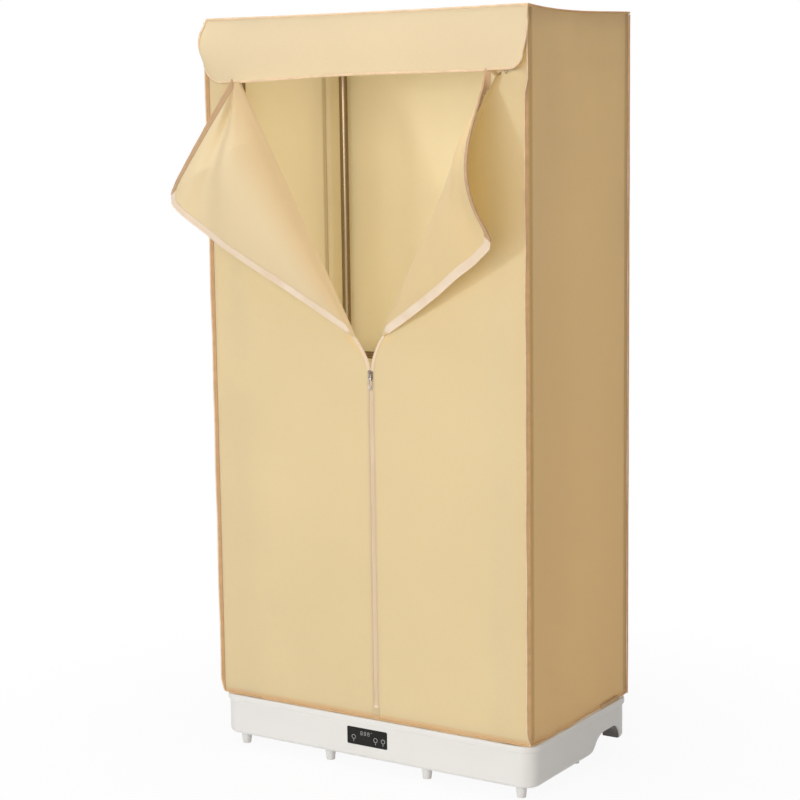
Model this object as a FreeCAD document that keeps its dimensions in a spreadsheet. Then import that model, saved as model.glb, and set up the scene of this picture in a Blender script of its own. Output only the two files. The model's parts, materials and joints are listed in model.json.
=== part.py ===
import FreeCAD, Part
import math
import os
import Sketcher

# Wardrobe clothes dryer: a cloth cabinet on a tube frame, over a moulded base with a fan and a heater.
# Millimetres. X runs to the right, Y to the back and Z up; the origin is on the floor under the middle.

SIZES = [
    ("cover_width", 760, "cloth cabinet, side to side"),
    ("cover_depth", 424, "cloth cabinet, front to back"),
    ("cover_height", 1440, "cloth cabinet, bottom hem to top"),
    ("cloth", 1.2, "cloth with its lining"),
    ("hem_gap", 2, "bottom hem above the base rim"),
    ("cloth_gap", 0.3, "between cloth pieces that fold against each other"),
    ("piping_radius", 2, "corded piping on the seams"),
    ("valance_drop", 124, "top of the cabinet to the lower edge of the valance"),
    ("valance_swell", 9, "lower edge of the valance in front of its seam"),
    ("valance_corner", 42, "rounded lower corners of the valance"),
    ("panel_drop", 116, "top of the cabinet to the upper hem of the front panels"),
    ("crease_drop", 126, "top of the cabinet to the upper end of the creases"),
    ("header_gap", 2, "slot of the upper zip between header and front panels"),
    ("opening_drop", 685, "top of the cabinet to the foot of the open front"),
    ("left_crease_inset", 75, "upper end of the left crease from the cabinet's side"),
    ("right_crease_inset", 58, "upper end of the right crease from the cabinet's side"),
    ("roll_low", 3, "radius of the rolled crease at its lower end"),
    ("roll_high", 9, "radius of the rolled crease at its upper end"),
    ("left_corner_side", 123, "free corner of the left lapel, sideways from the crease's upper end"),
    ("left_corner_out", 72, "free corner of the left lapel in front of the cabinet"),
    ("left_corner_rise", 319, "free corner of the left lapel above the foot of the opening"),
    ("left_bulge", 35, "crown of the left lapel over its widest chord"),
    ("left_zip_sag", 4, "zip edge of the left lapel under its chord"),
    ("left_hem_bow", 4, "hem of the left lapel in front of its chord"),
    ("right_corner_side", 18, "free corner of the right lapel, sideways from the crease's upper end"),
    ("right_corner_out", 84, "free corner of the right lapel in front of the cabinet"),
    ("right_corner_rise", 240, "free corner of the right lapel above the foot of the opening"),
    ("right_bulge", 34, "crown of the right lapel over its widest chord"),
    ("right_zip_sag", 7, "zip edge of the right lapel under its chord"),
    ("right_hem_bow", 94, "hem of the right lapel in front of its chord"),
    ("zip_x", 14.5, "zip to the right of the middle"),
    ("zip_start", 29, "lower end of the zip above the bottom hem"),
    ("teeth_width", 4, "one row of zip teeth"),
    ("teeth_thickness", 2.4, "zip teeth, front to back"),
    ("zip_slot", 2, "running slot between the two rows of teeth"),
    ("slider_drop", 35, "middle of the parked slider under the foot of the opening"),
    ("slider_height", 22, "zip slider"),
    ("slider_width", 13, "zip slider"),
    ("slider_plate", 2, "front and back plates of the slider"),
    ("slider_web", 1.4, "web of the slider in the running slot"),
    ("slider_gap", 0.4, "slider plates off the teeth"),
    ("bail_width", 3, "loop on the slider that holds the pull"),
    ("bail_height", 9, "loop on the slider that holds the pull"),
    ("bail_proud", 5, "loop on the slider that holds the pull"),
    ("pin_radius", 1.2, "cross pin of the pull"),
    ("run_gap", 0.05, "radial clearance of a turning pin or shaft"),
    ("pull_length", 32, "pull, from its pin to its tip"),
    ("pull_width", 9, "pull"),
    ("pull_thickness", 2, "pull"),
    ("pull_arm", 1.6, "arms of the pull beside the loop"),
    ("top_slider_length", 12, "slider of the upper zip"),
    ("top_slider_height", 9, "slider of the upper zip"),
    ("top_slider_offset", 10, "parked slider of the upper zip beyond the crease's upper end"),
    ("stop_height", 6, "lower stop of the zip"),
    ("base_height", 88, "moulded base without its feet"),
    ("base_margin_x", 8, "base rim beyond the cloth at the sides"),
    ("base_margin_y", 6, "base rim beyond the cloth at front and back"),
    ("base_corner", 40, "upright corners of the rim"),
    ("base_wall", 3, "walls and floor of the base"),
    ("base_edge_radius", 9, "rounded lower edge of the base"),
    ("rim_height", 13, "bead round the top of the base"),
    ("rim_proud", 4, "bead beyond the wall"),
    ("rim_round", 4, "rounding of the bead"),
    ("leg_depth", 42, "rear corner leg, front to back"),
    ("leg_width", 46, "rear corner leg, side to side"),
    ("recess_length", 156, "hand recess along the side wall"),
    ("recess_depth", 94, "hand recess into the base"),
    ("recess_rise", 37, "hand recess above the base's underside"),
    ("recess_ramp", 80, "curved ramp at the front of the hand recess"),
    ("recess_arch", 37, "arch radius at the rear of the hand recess"),
    ("foot_height", 26, "feet"),
    ("foot_radius", 12.5, "feet at the top"),
    ("foot_tip_radius", 9, "feet at the floor"),
    ("foot_inset_x", 44, "outer front feet from the rim's side"),
    ("foot_inset_y", 32, "front feet from the rim's front"),
    ("foot_inner_x", 121, "inner front feet from the middle"),
    ("side_foot_inset", 50, "side feet from the rim's side"),
    ("side_foot_back", 35, "side feet behind the front end of the hand recesses"),
    ("rear_foot_gap", 44, "rear feet from the hand recesses"),
    ("rear_foot_inset", 38, "rear feet from the rim's back"),
    ("deck_thickness", 3, "deck that closes the base"),
    ("deck_drop", 8, "deck under the rim's top"),
    ("deck_gap", 0.5, "deck inside the walls"),
    ("ledge_width", 6, "ledge under the deck"),
    ("ledge_height", 5, "ledge under the deck"),
    ("socket_radius", 15, "post sockets on the deck"),
    ("socket_height", 30, "post sockets on the deck"),
    ("boss_radius", 5.5, "screw bosses in the base"),
    ("screw_radius", 2, "deck screws"),
    ("screw_head_radius", 4, "deck screws"),
    ("screw_head_height", 2.4, "deck screws"),
    ("screw_length", 14, "deck screws"),
    ("screw_gap", 0.1, "screw holes, radial"),
    ("screw_row_x", 200, "front and rear deck screws from the middle"),
    ("screw_row_inset", 32, "front and rear deck screws from the rim"),
    ("screw_side_inset", 36, "side deck screws from the rim"),
    ("screw_side_y", -70, "side deck screws, front to back"),
    ("grille_width", 170, "outlet grille"),
    ("grille_depth", 136, "outlet grille"),
    ("grille_thickness", 3, "both grilles"),
    ("grille_lap", 8, "grilles over the edge of their openings"),
    ("slot_width", 7, "slots of the grilles"),
    ("slot_pitch", 13, "slots of the grilles"),
    ("intake_size", 132, "square intake grille"),
    ("fan_y", -75, "fan axis, front to back"),
    ("fan_size", 124, "square fan frame"),
    ("fan_height", 38, "square fan frame"),
    ("fan_bore", 58, "radius of the fan frame's bore"),
    ("spider_thickness", 4, "arms that carry the motor"),
    ("spider_width", 8, "arms that carry the motor"),
    ("motor_radius", 21, "fan motor and rotor hub"),
    ("motor_height", 14, "fan motor"),
    ("hub_height", 14, "rotor hub"),
    ("hub_gap", 3, "rotor hub off the motor"),
    ("shaft_radius", 2.5, "rotor shaft"),
    ("shaft_depth", 8, "rotor shaft inside the motor"),
    ("shaft_end_gap", 1, "rotor shaft off the end of its bore"),
    ("blade_tip_gap", 3, "blade tips off the bore"),
    ("blade_chord", 24, "rotor blades"),
    ("blade_thickness", 1.6, "rotor blades"),
    ("blade_pitch", 35, "rotor blades, degrees"),
    ("blade_root", 1, "rotor blades into the hub"),
    ("heater_wall", 3, "heater duct"),
    ("ptc_width", 16, "heater bars"),
    ("ptc_height", 22, "heater bars"),
    ("ptc_core", 6, "solid core of the heater bars"),
    ("ptc_pitch", 34, "heater bars, centre to centre"),
    ("fin_pitch", 8, "fins of the heater bars"),
    ("fin_gap", 4, "between the fins"),
    ("cutout_radius", 8, "thermal cut-out"),
    ("cutout_height", 6, "thermal cut-out"),
    ("panel_x", -8, "control panel from the middle"),
    ("panel_rise", 46.5, "middle of the control panel above the base's underside"),
    ("panel_width", 99, "control panel"),
    ("panel_height", 37, "control panel"),
    ("panel_corner", 3, "control panel"),
    ("panel_proud", 0.6, "control panel in front of the wall"),
    ("panel_gap", 0.3, "control panel in its window"),
    ("board_length", 126, "circuit board"),
    ("board_height", 44, "circuit board"),
    ("board_thickness", 1.6, "circuit board"),
    ("board_offset", 9, "circuit board behind the wall"),
    ("board_boss_x", 57, "board bosses from the panel's middle"),
    ("board_boss_radius", 4, "board bosses"),
    ("display_width", 70, "display module"),
    ("display_height", 24, "display module"),
    ("relay_width", 22, "relays on the board"),
    ("relay_depth", 16, "relays on the board"),
    ("relay_height", 20, "relays on the board"),
    ("relay_pitch", 44, "relays on the board"),
    ("gland_side_gap", 38, "cord gland from the lining of the left hand recess"),
    ("gland_rise", 46, "cord gland above the base's underside"),
    ("gland_radius", 9, "cord gland in the wall"),
    ("gland_flange_radius", 13, "cord gland outside and inside the wall"),
    ("gland_flange", 4, "cord gland outside and inside the wall"),
    ("cord_hole_radius", 3.6, "bore of the cord gland"),
    ("post_radius", 9.5, "upright tubes"),
    ("rail_radius", 8.5, "level tubes"),
    ("tube_wall", 1, "all tubes"),
    ("fit_gap", 0.1, "tubes in their sockets, radial"),
    ("post_inset_x", 65, "uprights from the cloth's side"),
    ("post_inset_y", 24, "uprights from the cloth's front and back"),
    ("mid_rise", 713, "middle rails above the deck"),
    ("joint_wall", 3.4, "plastic round the tubes in the joints"),
    ("joint_web", 3, "web between two tube ends"),
    ("sleeve_length", 56, "middle joints, and the drop of the corner joints"),
    ("corner_stop", 12, "upright's end under the middle of a corner joint"),
    ("rail_reach", 34, "mouth of a rail socket from the upright's axis"),
    ("rail_seat", 16, "rail inside its socket"),
    ("top_gap", 0.3, "cloth over the corner joints"),
    ("rod_y", 80, "hanging rods from the middle"),
    ("tee_length", 32, "tees that carry the hanging rods"),
]
BLADES = 7
HEATER_BARS = 3
# Where the crease lies beside a lapel's free corner, as a share of the crease from its foot.
LAPEL_TURN = {"left": 0.78, "right": 0.62}
# Sections of a lapel, as shares of its zip edge and of its hem, and the ends of a fold on its crease.
ZIP_STATIONS = (0.05, 0.3, 0.62, 1)
HEM_STATIONS = (0.35, 0.65, 0.92)
FOLD_ENDS = (0.01, 0.98)
# Sine and cosine of an eighth of a turn.
EIGHTH = math.sqrt(0.5)

doc = FreeCAD.newDocument("wardrobe_dryer")
sheet = doc.addObject("Spreadsheet::Sheet", "dims")
for row, (alias, size, meaning) in enumerate(SIZES, start=1):
    sheet.set(f"A{row}", str(size))
    sheet.setAlias(f"A{row}", alias)
    sheet.set(f"B{row}", meaning)
doc.recompute()

# Places worked out from the sizes, as expressions for the bound properties.
HALF_X = "(dims.cover_width / 2)"
HALF_Y = "(dims.cover_depth / 2)"
RIM_X = f"({HALF_X} + dims.base_margin_x)"
RIM_Y = f"({HALF_Y} + dims.base_margin_y)"
WALL_X = f"({RIM_X} - dims.rim_proud)"
WALL_Y = f"({RIM_Y} - dims.rim_proud)"
WALL_CORNER = "(dims.base_corner - dims.rim_proud)"
CAVITY_X = f"({WALL_X} - dims.base_wall)"
CAVITY_Y = f"({WALL_Y} - dims.base_wall)"
BASE_LOW = "dims.foot_height"
FLOOR_TOP = "(dims.foot_height + dims.base_wall)"
BASE_TOP = "(dims.foot_height + dims.base_height)"
DECK_TOP = f"({BASE_TOP} - dims.deck_drop)"
DECK_LOW = f"({DECK_TOP} - dims.deck_thickness)"
HEM = f"({BASE_TOP} + dims.hem_gap)"
TOP = f"({HEM} + dims.cover_height)"
POST_X = f"({HALF_X} - dims.post_inset_x)"
POST_Y = f"({HALF_Y} - dims.post_inset_y)"
SLEEVE_R = "(dims.post_radius + dims.fit_gap + dims.joint_wall)"
BOSS_R = "(dims.rail_radius + dims.fit_gap + dims.joint_wall)"
MID_Z = f"({DECK_TOP} + dims.mid_rise)"
RAIL_Z = f"({TOP} - dims.cloth - dims.top_gap - {SLEEVE_R})"
RAIL_IN = "(dims.rail_reach - dims.rail_seat)"
PANEL_TOP = f"({TOP} - dims.panel_drop)"
CREASE_TOP = f"({TOP} - dims.crease_drop)"
OPENING_Z = f"({TOP} - dims.opening_drop)"
LEFT_TOP_X = f"(-{HALF_X} + dims.left_crease_inset)"
RIGHT_TOP_X = f"({HALF_X} - dims.right_crease_inset)"
ZIP_LEFT = "(dims.zip_x - dims.zip_slot / 2 - dims.teeth_width)"
ZIP_RIGHT = "(dims.zip_x + dims.zip_slot / 2 + dims.teeth_width)"
CLOTH_Y = f"(-{HALF_Y} + dims.cloth / 2)"
PIPING_OFF = "((dims.piping_radius + dims.cloth_gap) * sqrt(0.5))"
SLIDER_Z = f"({OPENING_Z} - dims.slider_drop)"
SLIDER_FRONT = f"({CLOTH_Y} - dims.teeth_thickness / 2 - dims.slider_gap - dims.slider_plate)"
PIN_Y = f"({SLIDER_FRONT} - dims.bail_proud / 2)"
ZIP_LOW = f"({HEM} + dims.zip_start)"
FAN_LOW = f"({FLOOR_TOP} + dims.grille_thickness)"
FAN_TOP = f"({FAN_LOW} + dims.fan_height)"
MOTOR_LOW = f"({FAN_TOP} - dims.spider_thickness - dims.motor_height)"
PANEL_Z = f"({BASE_LOW} + dims.panel_rise)"
BOARD_Y = f"(-{CAVITY_Y} + dims.board_offset)"
RECESS_FRONT = f"({RIM_Y} - dims.leg_depth - dims.recess_length)"
RECESS_SIDE = f"({RIM_X} - dims.recess_depth)"
SIDE_FOOT_Y = f"({RECESS_FRONT} + dims.side_foot_back)"
GLAND_X = f"(-{RECESS_SIDE} + dims.base_wall + dims.gland_flange_radius + dims.gland_side_gap)"
GLAND_Z = f"({BASE_LOW} + dims.gland_rise)"
POST_HOLE = "(dims.post_radius + dims.fit_gap)"
SCREW_HOLE = "(dims.screw_radius + dims.screw_gap)"
CORNERS = [("left", "front"), ("right", "front"), ("left", "rear"), ("right", "rear")]
SIGN = {"left": -1, "right": 1, "front": -1, "rear": 1}
TURNS = {
    "X": FreeCAD.Rotation(FreeCAD.Vector(0, 1, 0), 90),
    "Y": FreeCAD.Rotation(FreeCAD.Vector(1, 0, 0), -90),
    "Z": FreeCAD.Rotation(),
}
TINY = 1e-6
subparts = []


def value(expression):
    return float(sheet.evalExpression(expression))


def vec(x, y, z):
    return FreeCAD.Vector(x, y, z)


def keep(item, label):
    """Name a finished piece; its label is its node."""
    item.Label = label
    subparts.append(item)
    return item


def place(item, position, axis="Z"):
    item.Placement = FreeCAD.Placement(FreeCAD.Vector(), TURNS[axis])
    for letter, expression in zip("xyz", position):
        item.setExpression(f"Placement.Base.{letter}", expression)
    return item


def box(name, size, low):
    item = doc.addObject("Part::Box", name)
    for side, expression in zip(("Length", "Width", "Height"), size):
        item.setExpression(side, expression)
    return place(item, low)


def centred_box(name, size, centre):
    low = [f"{middle} - {side} / 2" for side, middle in zip(size, centre)]
    return box(name, size, low)


def rod(name, radius, length, start, axis="Z"):
    item = doc.addObject("Part::Cylinder", name)
    item.setExpression("Radius", radius)
    item.setExpression("Height", length)
    return place(item, start, axis)


def fuse(name, pieces):
    item = doc.addObject("Part::MultiFuse", name)
    item.Shapes = pieces
    return item


def cut(name, base, tools):
    item = doc.addObject("Part::Cut", name)
    item.Base = base
    item.Tool = tools[0] if len(tools) == 1 else fuse(name + "_tools", tools)
    return item


def group(name, pieces):
    item = doc.addObject("Part::Compound", name)
    item.Links = pieces
    return item


def made(name, shape):
    item = doc.addObject("Part::Feature", name)
    item.Shape = shape
    item.Placement = FreeCAD.Placement()
    return item


def tube(name, radius, length, start, axis="Z"):
    outer = rod(name + "_outer", radius, length, start, axis)
    inner = rod(name + "_bore", f"{radius} - dims.tube_wall", length, start, axis)
    return cut(name, outer, [inner])


def origin_feature(body, role):
    return next(item for item in body.Origin.OriginFeatures if item.Role == role)


def sketch_on(body, role, offset, turn=0):
    sketch = body.newObject("Sketcher::SketchObject", body.Name + "_sketch")
    sketch.AttachmentSupport = [(origin_feature(body, role), "")]
    sketch.MapMode = "FlatFace"
    sketch.AttachmentOffset = FreeCAD.Placement(vec(0, 0, 0), FreeCAD.Rotation(vec(0, 0, 1), turn))
    for letter, expression in zip("xyz", offset):
        sketch.setExpression(f"AttachmentOffset.Base.{letter}", expression)
    return sketch


def bound(sketch, constraint, expression):
    index = sketch.addConstraint(constraint)
    sketch.setExpression(f"Constraints[{index}]", expression)


def polygon(sketch, corners):
    """Close a polygon whose corners are bound to their expressions."""
    points = [vec(value(x), value(y), 0) for x, y in corners]
    count = len(corners)
    for index in range(count):
        sketch.addGeometry(Part.LineSegment(points[index], points[(index + 1) % count]))
    for index, (x, y) in enumerate(corners):
        sketch.addConstraint(Sketcher.Constraint("Coincident", index, 2, (index + 1) % count, 1))
        bound(sketch, Sketcher.Constraint("DistanceX", -1, 1, index, 1, points[index].x), x)
        bound(sketch, Sketcher.Constraint("DistanceY", -1, 1, index, 1, points[index].y), y)


def rectangle(sketch, half_x, half_y):
    corners = [(f"-{half_x}", f"-{half_y}"), (half_x, f"-{half_y}"), (half_x, half_y), (f"-{half_x}", half_y)]
    polygon(sketch, corners)


def circle(sketch, radius):
    sketch.addGeometry(Part.Circle(vec(0, 0, 0), vec(0, 0, 1), value(radius)))
    sketch.addConstraint(Sketcher.Constraint("Coincident", 0, 3, -1, 1))
    bound(sketch, Sketcher.Constraint("Radius", 0, value(radius)), radius)


def new_body(name):
    return doc.addObject("PartDesign::Body", name)


def pad(body, sketch, length):
    item = body.newObject("PartDesign::Pad", body.Name + "_pad")
    item.Profile = sketch
    item.setExpression("Length", length)
    return item


def round_edges(body, base, chosen, radius):
    """Fillet the edges of the last feature that the test picks."""
    doc.recompute()
    names = [f"Edge{n}" for n, edge in enumerate(base.Shape.Edges, start=1) if chosen(edge.BoundBox)]
    item = body.newObject("PartDesign::Fillet", body.Name + "_round")
    item.Base = (base, names)
    item.setExpression("Radius", radius)
    doc.recompute()
    return item


def rounded_block(name, half_x, half_y, low, height, corner, lower=None, upper=None):
    """Block with rounded upright corners and, where given, rounded lower and upper edges."""
    body = new_body(name)
    sketch = sketch_on(body, "XY_Plane", ("0", "0", low))
    rectangle(sketch, half_x, half_y)
    last = pad(body, sketch, height)
    last = round_edges(body, last, lambda b: b.XLength < TINY and b.YLength < TINY, corner)
    floor = value(low)
    roof = floor + value(height)
    if lower:
        last = round_edges(body, last, lambda b: b.ZMax < floor + TINY, lower)
    if upper:
        round_edges(body, last, lambda b: b.ZMin > roof - TINY, upper)
    return body


def front_plate(name, corners, back_y, thickness):
    """Upright plate from its outline in X and Z; it is padded to the front from back_y."""
    body = new_body(name)
    sketch = sketch_on(body, "XZ_Plane", ("0", "0", f"-{back_y}"))
    polygon(sketch, corners)
    pad(body, sketch, thickness)
    return body


def panel_block(name, gap, back_y, thickness):
    """Control panel outline with rounded corners, grown all round by a gap."""
    half_x = f"(dims.panel_width / 2 + {gap})"
    half_z = f"(dims.panel_height / 2 + {gap})"
    corners = [
        (f"dims.panel_x - {half_x}", f"{PANEL_Z} - {half_z}"),
        (f"dims.panel_x + {half_x}", f"{PANEL_Z} - {half_z}"),
        (f"dims.panel_x + {half_x}", f"{PANEL_Z} + {half_z}"),
        (f"dims.panel_x - {half_x}", f"{PANEL_Z} + {half_z}"),
    ]
    body = front_plate(name, corners, back_y, thickness)
    round_edges(body, body.Tip, lambda b: b.XLength < TINY and b.ZLength < TINY, f"dims.panel_corner + {gap}")
    return body


def recess(grow):
    """Open space of both hand recesses; grown, it is the outside of their lining."""
    roof = value(f"{BASE_LOW} + dims.recess_rise") + grow
    sill = value(BASE_LOW) + grow
    rear = value(f"{RIM_Y} - dims.leg_depth") + grow
    front = value(RECESS_FRONT) - grow
    inner = value(RECESS_SIDE) - grow
    outer = value(f"{RIM_X} + dims.recess_depth")
    arch = value("dims.recess_arch") + grow
    crest = front + value("dims.recess_ramp") + grow
    middle = vec(inner, (front + crest) / 2, (sill + roof) / 2)
    half_run = (crest - front) / 2
    half_rise = (roof - sill) / 2
    bend = (half_run ** 2 + half_rise ** 2) / (2 * half_rise)
    half_turn = math.atan2(half_rise, half_run)
    low_mid = vec(inner, front + bend * math.sin(half_turn), sill + bend * (1 - math.cos(half_turn)))
    high_mid = vec(inner, crest - bend * math.sin(half_turn), roof - bend * (1 - math.cos(half_turn)))
    arch_mid = vec(inner, rear - arch * (1 - EIGHTH), roof - arch * (1 - EIGHTH))
    floor_front = vec(inner, front, 0)
    floor_rear = vec(inner, rear, 0)
    start = vec(inner, front, sill)
    top_front = vec(inner, crest, roof)
    top_rear = vec(inner, rear - arch, roof)
    end = vec(inner, rear, roof - arch)
    edges = [
        Part.LineSegment(floor_front, start).toShape(),
        Part.Arc(start, low_mid, middle).toShape(),
        Part.Arc(middle, high_mid, top_front).toShape(),
        Part.LineSegment(top_front, top_rear).toShape(),
        Part.Arc(top_rear, arch_mid, end).toShape(),
        Part.LineSegment(end, floor_rear).toShape(),
        Part.LineSegment(floor_rear, floor_front).toShape(),
    ]
    side = Part.Face(Part.Wire(edges)).extrude(vec(outer - inner, 0, 0))
    back_width = value(f"{RIM_X} - dims.leg_width") + grow - inner
    back_length = value(f"{RIM_Y} + dims.leg_depth") - top_rear.y
    back = Part.makeBox(back_width, back_length, roof, vec(inner, top_rear.y, 0))
    right = side.fuse(back)
    left = right.mirror(vec(0, 0, 0), vec(1, 0, 0))
    return Part.makeCompound([left, right])


def screw_places():
    row_y = f"({RIM_Y} - dims.screw_row_inset)"
    side_x = f"({RIM_X} - dims.screw_side_inset)"
    places = []
    for side in (-1, 1):
        places.append((f"{side} * {side_x}", "dims.screw_side_y"))
        places.append((f"{side} * dims.screw_row_x", f"-{row_y}"))
        places.append((f"{side} * dims.screw_row_x", row_y))
    return places


def foot_places():
    front = f"(-{RIM_Y} + dims.foot_inset_y)"
    outer = f"({RIM_X} - dims.foot_inset_x)"
    places = [("0", "0")]
    for side in (-1, 1):
        places.append((f"{side} * {outer}", front))
        places.append((f"{side} * dims.foot_inner_x", front))
        places.append((f"{side} * ({RIM_X} - dims.side_foot_inset)", SIDE_FOOT_Y))
        places.append((f"{side} * ({RECESS_SIDE} - dims.rear_foot_gap)", f"{RIM_Y} - dims.rear_foot_inset"))
    return places


def board_boss(side):
    x = f"dims.panel_x + {side} * dims.board_boss_x"
    start = (x, f"-{CAVITY_Y} - dims.base_wall / 2", PANEL_Z)
    return rod("board_boss", "dims.board_boss_radius", "dims.board_offset + dims.base_wall / 2", start, "Y")


def base_outline(name):
    return rounded_block(name, WALL_X, WALL_Y, BASE_LOW, "dims.base_height", WALL_CORNER,
                         "dims.base_edge_radius")


def base_shell():
    edge = WALL_CORNER
    outer = base_outline("base_outer")
    rim_low = f"{BASE_TOP} - dims.rim_height"
    rim = rounded_block("base_rim", RIM_X, RIM_Y, rim_low, "dims.rim_height", "dims.base_corner",
                        "dims.rim_round / 2", "dims.rim_round")
    cavity = rounded_block("base_cavity", CAVITY_X, CAVITY_Y, FLOOR_TOP, "dims.base_height",
                           f"{edge} - dims.base_wall", "dims.base_edge_radius - dims.base_wall")
    lining = made("recess_lining", recess(value("dims.base_wall")))
    hollow = cut("base_hollow", cavity, [lining])
    walls = cut("base_walls", fuse("base_skin", [outer, rim]), [hollow, made("recess_space", recess(0))])
    ledge_low = f"{DECK_LOW} - dims.ledge_height"
    into_wall = "dims.base_wall / 2"
    ledge_outer = rounded_block("ledge_outer", f"({CAVITY_X} + {into_wall})", f"({CAVITY_Y} + {into_wall})",
                                ledge_low, "dims.ledge_height", edge)
    inset_x = f"({CAVITY_X} - dims.ledge_width)"
    inset_y = f"({CAVITY_Y} - dims.ledge_width)"
    ledge_inner = rounded_block("ledge_inner", inset_x, inset_y, ledge_low, "dims.ledge_height",
                                f"{edge} - dims.base_wall - dims.ledge_width")
    added = [walls, cut("deck_ledge", ledge_outer, [ledge_inner])]
    bores = []
    boss_low = f"({FLOOR_TOP} - dims.base_wall / 2)"
    for x, y in screw_places():
        added.append(rod("screw_boss", "dims.boss_radius", f"{DECK_LOW} - {boss_low}", (x, y, boss_low)))
        depth = "(dims.screw_length + dims.screw_gap)"
        bores.append(rod("screw_pilot", SCREW_HOLE, depth, (x, y, f"{DECK_TOP} - {depth}")))
    for side in (-1, 1):
        added.append(board_boss(side))
        seat = (f"{side} * ({RIM_X} - dims.side_foot_inset)", SIDE_FOOT_Y, BASE_LOW)
        added.append(rod("foot_boss", "dims.foot_radius", "dims.recess_rise / 2", seat))
    behind_wall = f"(-{WALL_Y} + 2 * dims.base_wall)"
    window = panel_block("panel_window", "dims.panel_gap", behind_wall, "4 * dims.base_wall")
    hole = "(dims.intake_size - 2 * dims.grille_lap)"
    intake = centred_box("intake_hole", (hole, hole, "4 * dims.base_wall"), ("0", "dims.fan_y", BASE_LOW))
    gland = rod("gland_hole", "dims.gland_radius + dims.fit_gap", "4 * dims.base_wall",
                (GLAND_X, f"{WALL_Y} - 2 * dims.base_wall", GLAND_Z), "Y")
    keep(cut("base_shell", fuse("base_ribbed", added), bores + [window, intake, gland]), "base_shell")


def base_deck():
    corner = "dims.base_corner - dims.rim_proud - dims.base_wall - dims.deck_gap"
    plate = rounded_block("deck_plate", f"({CAVITY_X} - dims.deck_gap)", f"({CAVITY_Y} - dims.deck_gap)",
                          DECK_LOW, "dims.deck_thickness", corner)
    added = [plate]
    holes = []
    for side, end in CORNERS:
        x = f"{SIGN[side]} * {POST_X}"
        y = f"{SIGN[end]} * {POST_Y}"
        rise = "dims.deck_thickness + dims.socket_height"
        added.append(rod("socket", "dims.socket_radius", rise, (x, y, DECK_LOW)))
        holes.append(rod("socket_bore", POST_HOLE, "2 * dims.socket_height", (x, y, DECK_TOP)))
    for x, y in screw_places():
        holes.append(rod("screw_hole", SCREW_HOLE, "dims.deck_thickness", (x, y, DECK_LOW)))
    opening = [f"(dims.{side} - 2 * dims.grille_lap)" for side in ("grille_width", "grille_depth")]
    opening.append("4 * dims.deck_thickness")
    holes.append(centred_box("outlet_hole", opening, ("0", "dims.fan_y", DECK_LOW)))
    keep(cut("base_deck", fuse("deck_body", added), holes), "base_deck")


def deck_screws():
    screws = []
    for x, y in screw_places():
        shank_low = (x, y, f"{DECK_TOP} - dims.screw_length")
        shank = rod("screw_shank", "dims.screw_radius", "dims.screw_length", shank_low)
        head = rod("screw_head", "dims.screw_head_radius", "dims.screw_head_height", (x, y, DECK_TOP))
        screws.append(fuse("screw", [shank, head]))
    keep(group("deck_screws", screws), "deck_screws")


def feet():
    """Tapered feet, taller than their gap by one wall and trimmed to the rounded underside."""
    cones = []
    for x, y in foot_places():
        cone = doc.addObject("Part::Cone", "foot_cone")
        cone.setExpression("Radius1", "dims.foot_tip_radius")
        cone.setExpression("Radius2", "dims.foot_radius")
        cone.setExpression("Height", "dims.foot_height + dims.base_wall")
        cones.append(cut("foot", place(cone, (x, y, "0")), [base_outline("foot_seat")]))
    keep(group("feet", cones), "feet")


def grille(label, width, depth, low):
    """Flat plate over the fan with a row of slots."""
    plate = box(label + "_plate", (width, depth, "dims.grille_thickness"),
                (f"-{width} / 2", f"dims.fan_y - {depth} / 2", low))
    count = int(value(f"({width} - 2 * dims.grille_lap) / dims.slot_pitch"))
    slot = ("dims.slot_width", f"({depth} - 4 * dims.grille_lap)", "2 * dims.grille_thickness")
    slots = []
    for index in range(count):
        x = f"{index - (count - 1) / 2} * dims.slot_pitch"
        middle = (x, "dims.fan_y", f"{low} + dims.grille_thickness / 2")
        slots.append(centred_box(label + "_slot", slot, middle))
    keep(cut(label, plate, slots), label)


def fan_frame():
    frame = centred_box("frame_block", ("dims.fan_size", "dims.fan_size", "dims.fan_height"),
                        ("0", "dims.fan_y", f"{FAN_LOW} + dims.fan_height / 2"))
    bore = rod("frame_bore", "dims.fan_bore", "dims.fan_height", ("0", "dims.fan_y", FAN_LOW))
    middle = ("0", "dims.fan_y", f"{FAN_TOP} - dims.spider_thickness / 2")
    length = "(dims.fan_size - 2 * dims.heater_wall)"
    long = centred_box("arm_x", (length, "dims.spider_width", "dims.spider_thickness"), middle)
    wide = centred_box("arm_y", ("dims.spider_width", length, "dims.spider_thickness"), middle)
    seat = rod("motor_seat", "dims.motor_radius", "dims.spider_thickness",
               ("0", "dims.fan_y", f"{FAN_TOP} - dims.spider_thickness"))
    keep(fuse("fan_frame", [cut("frame_ring", frame, [bore]), long, wide, seat]), "fan_frame")


def fan_motor():
    can = rod("motor_can", "dims.motor_radius", "dims.motor_height", ("0", "dims.fan_y", MOTOR_LOW))
    bore = rod("motor_bore", "dims.shaft_radius + dims.run_gap", "dims.shaft_depth + dims.shaft_end_gap",
               ("0", "dims.fan_y", MOTOR_LOW))
    keep(cut("fan_motor", can, [bore]), "fan_motor")


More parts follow.
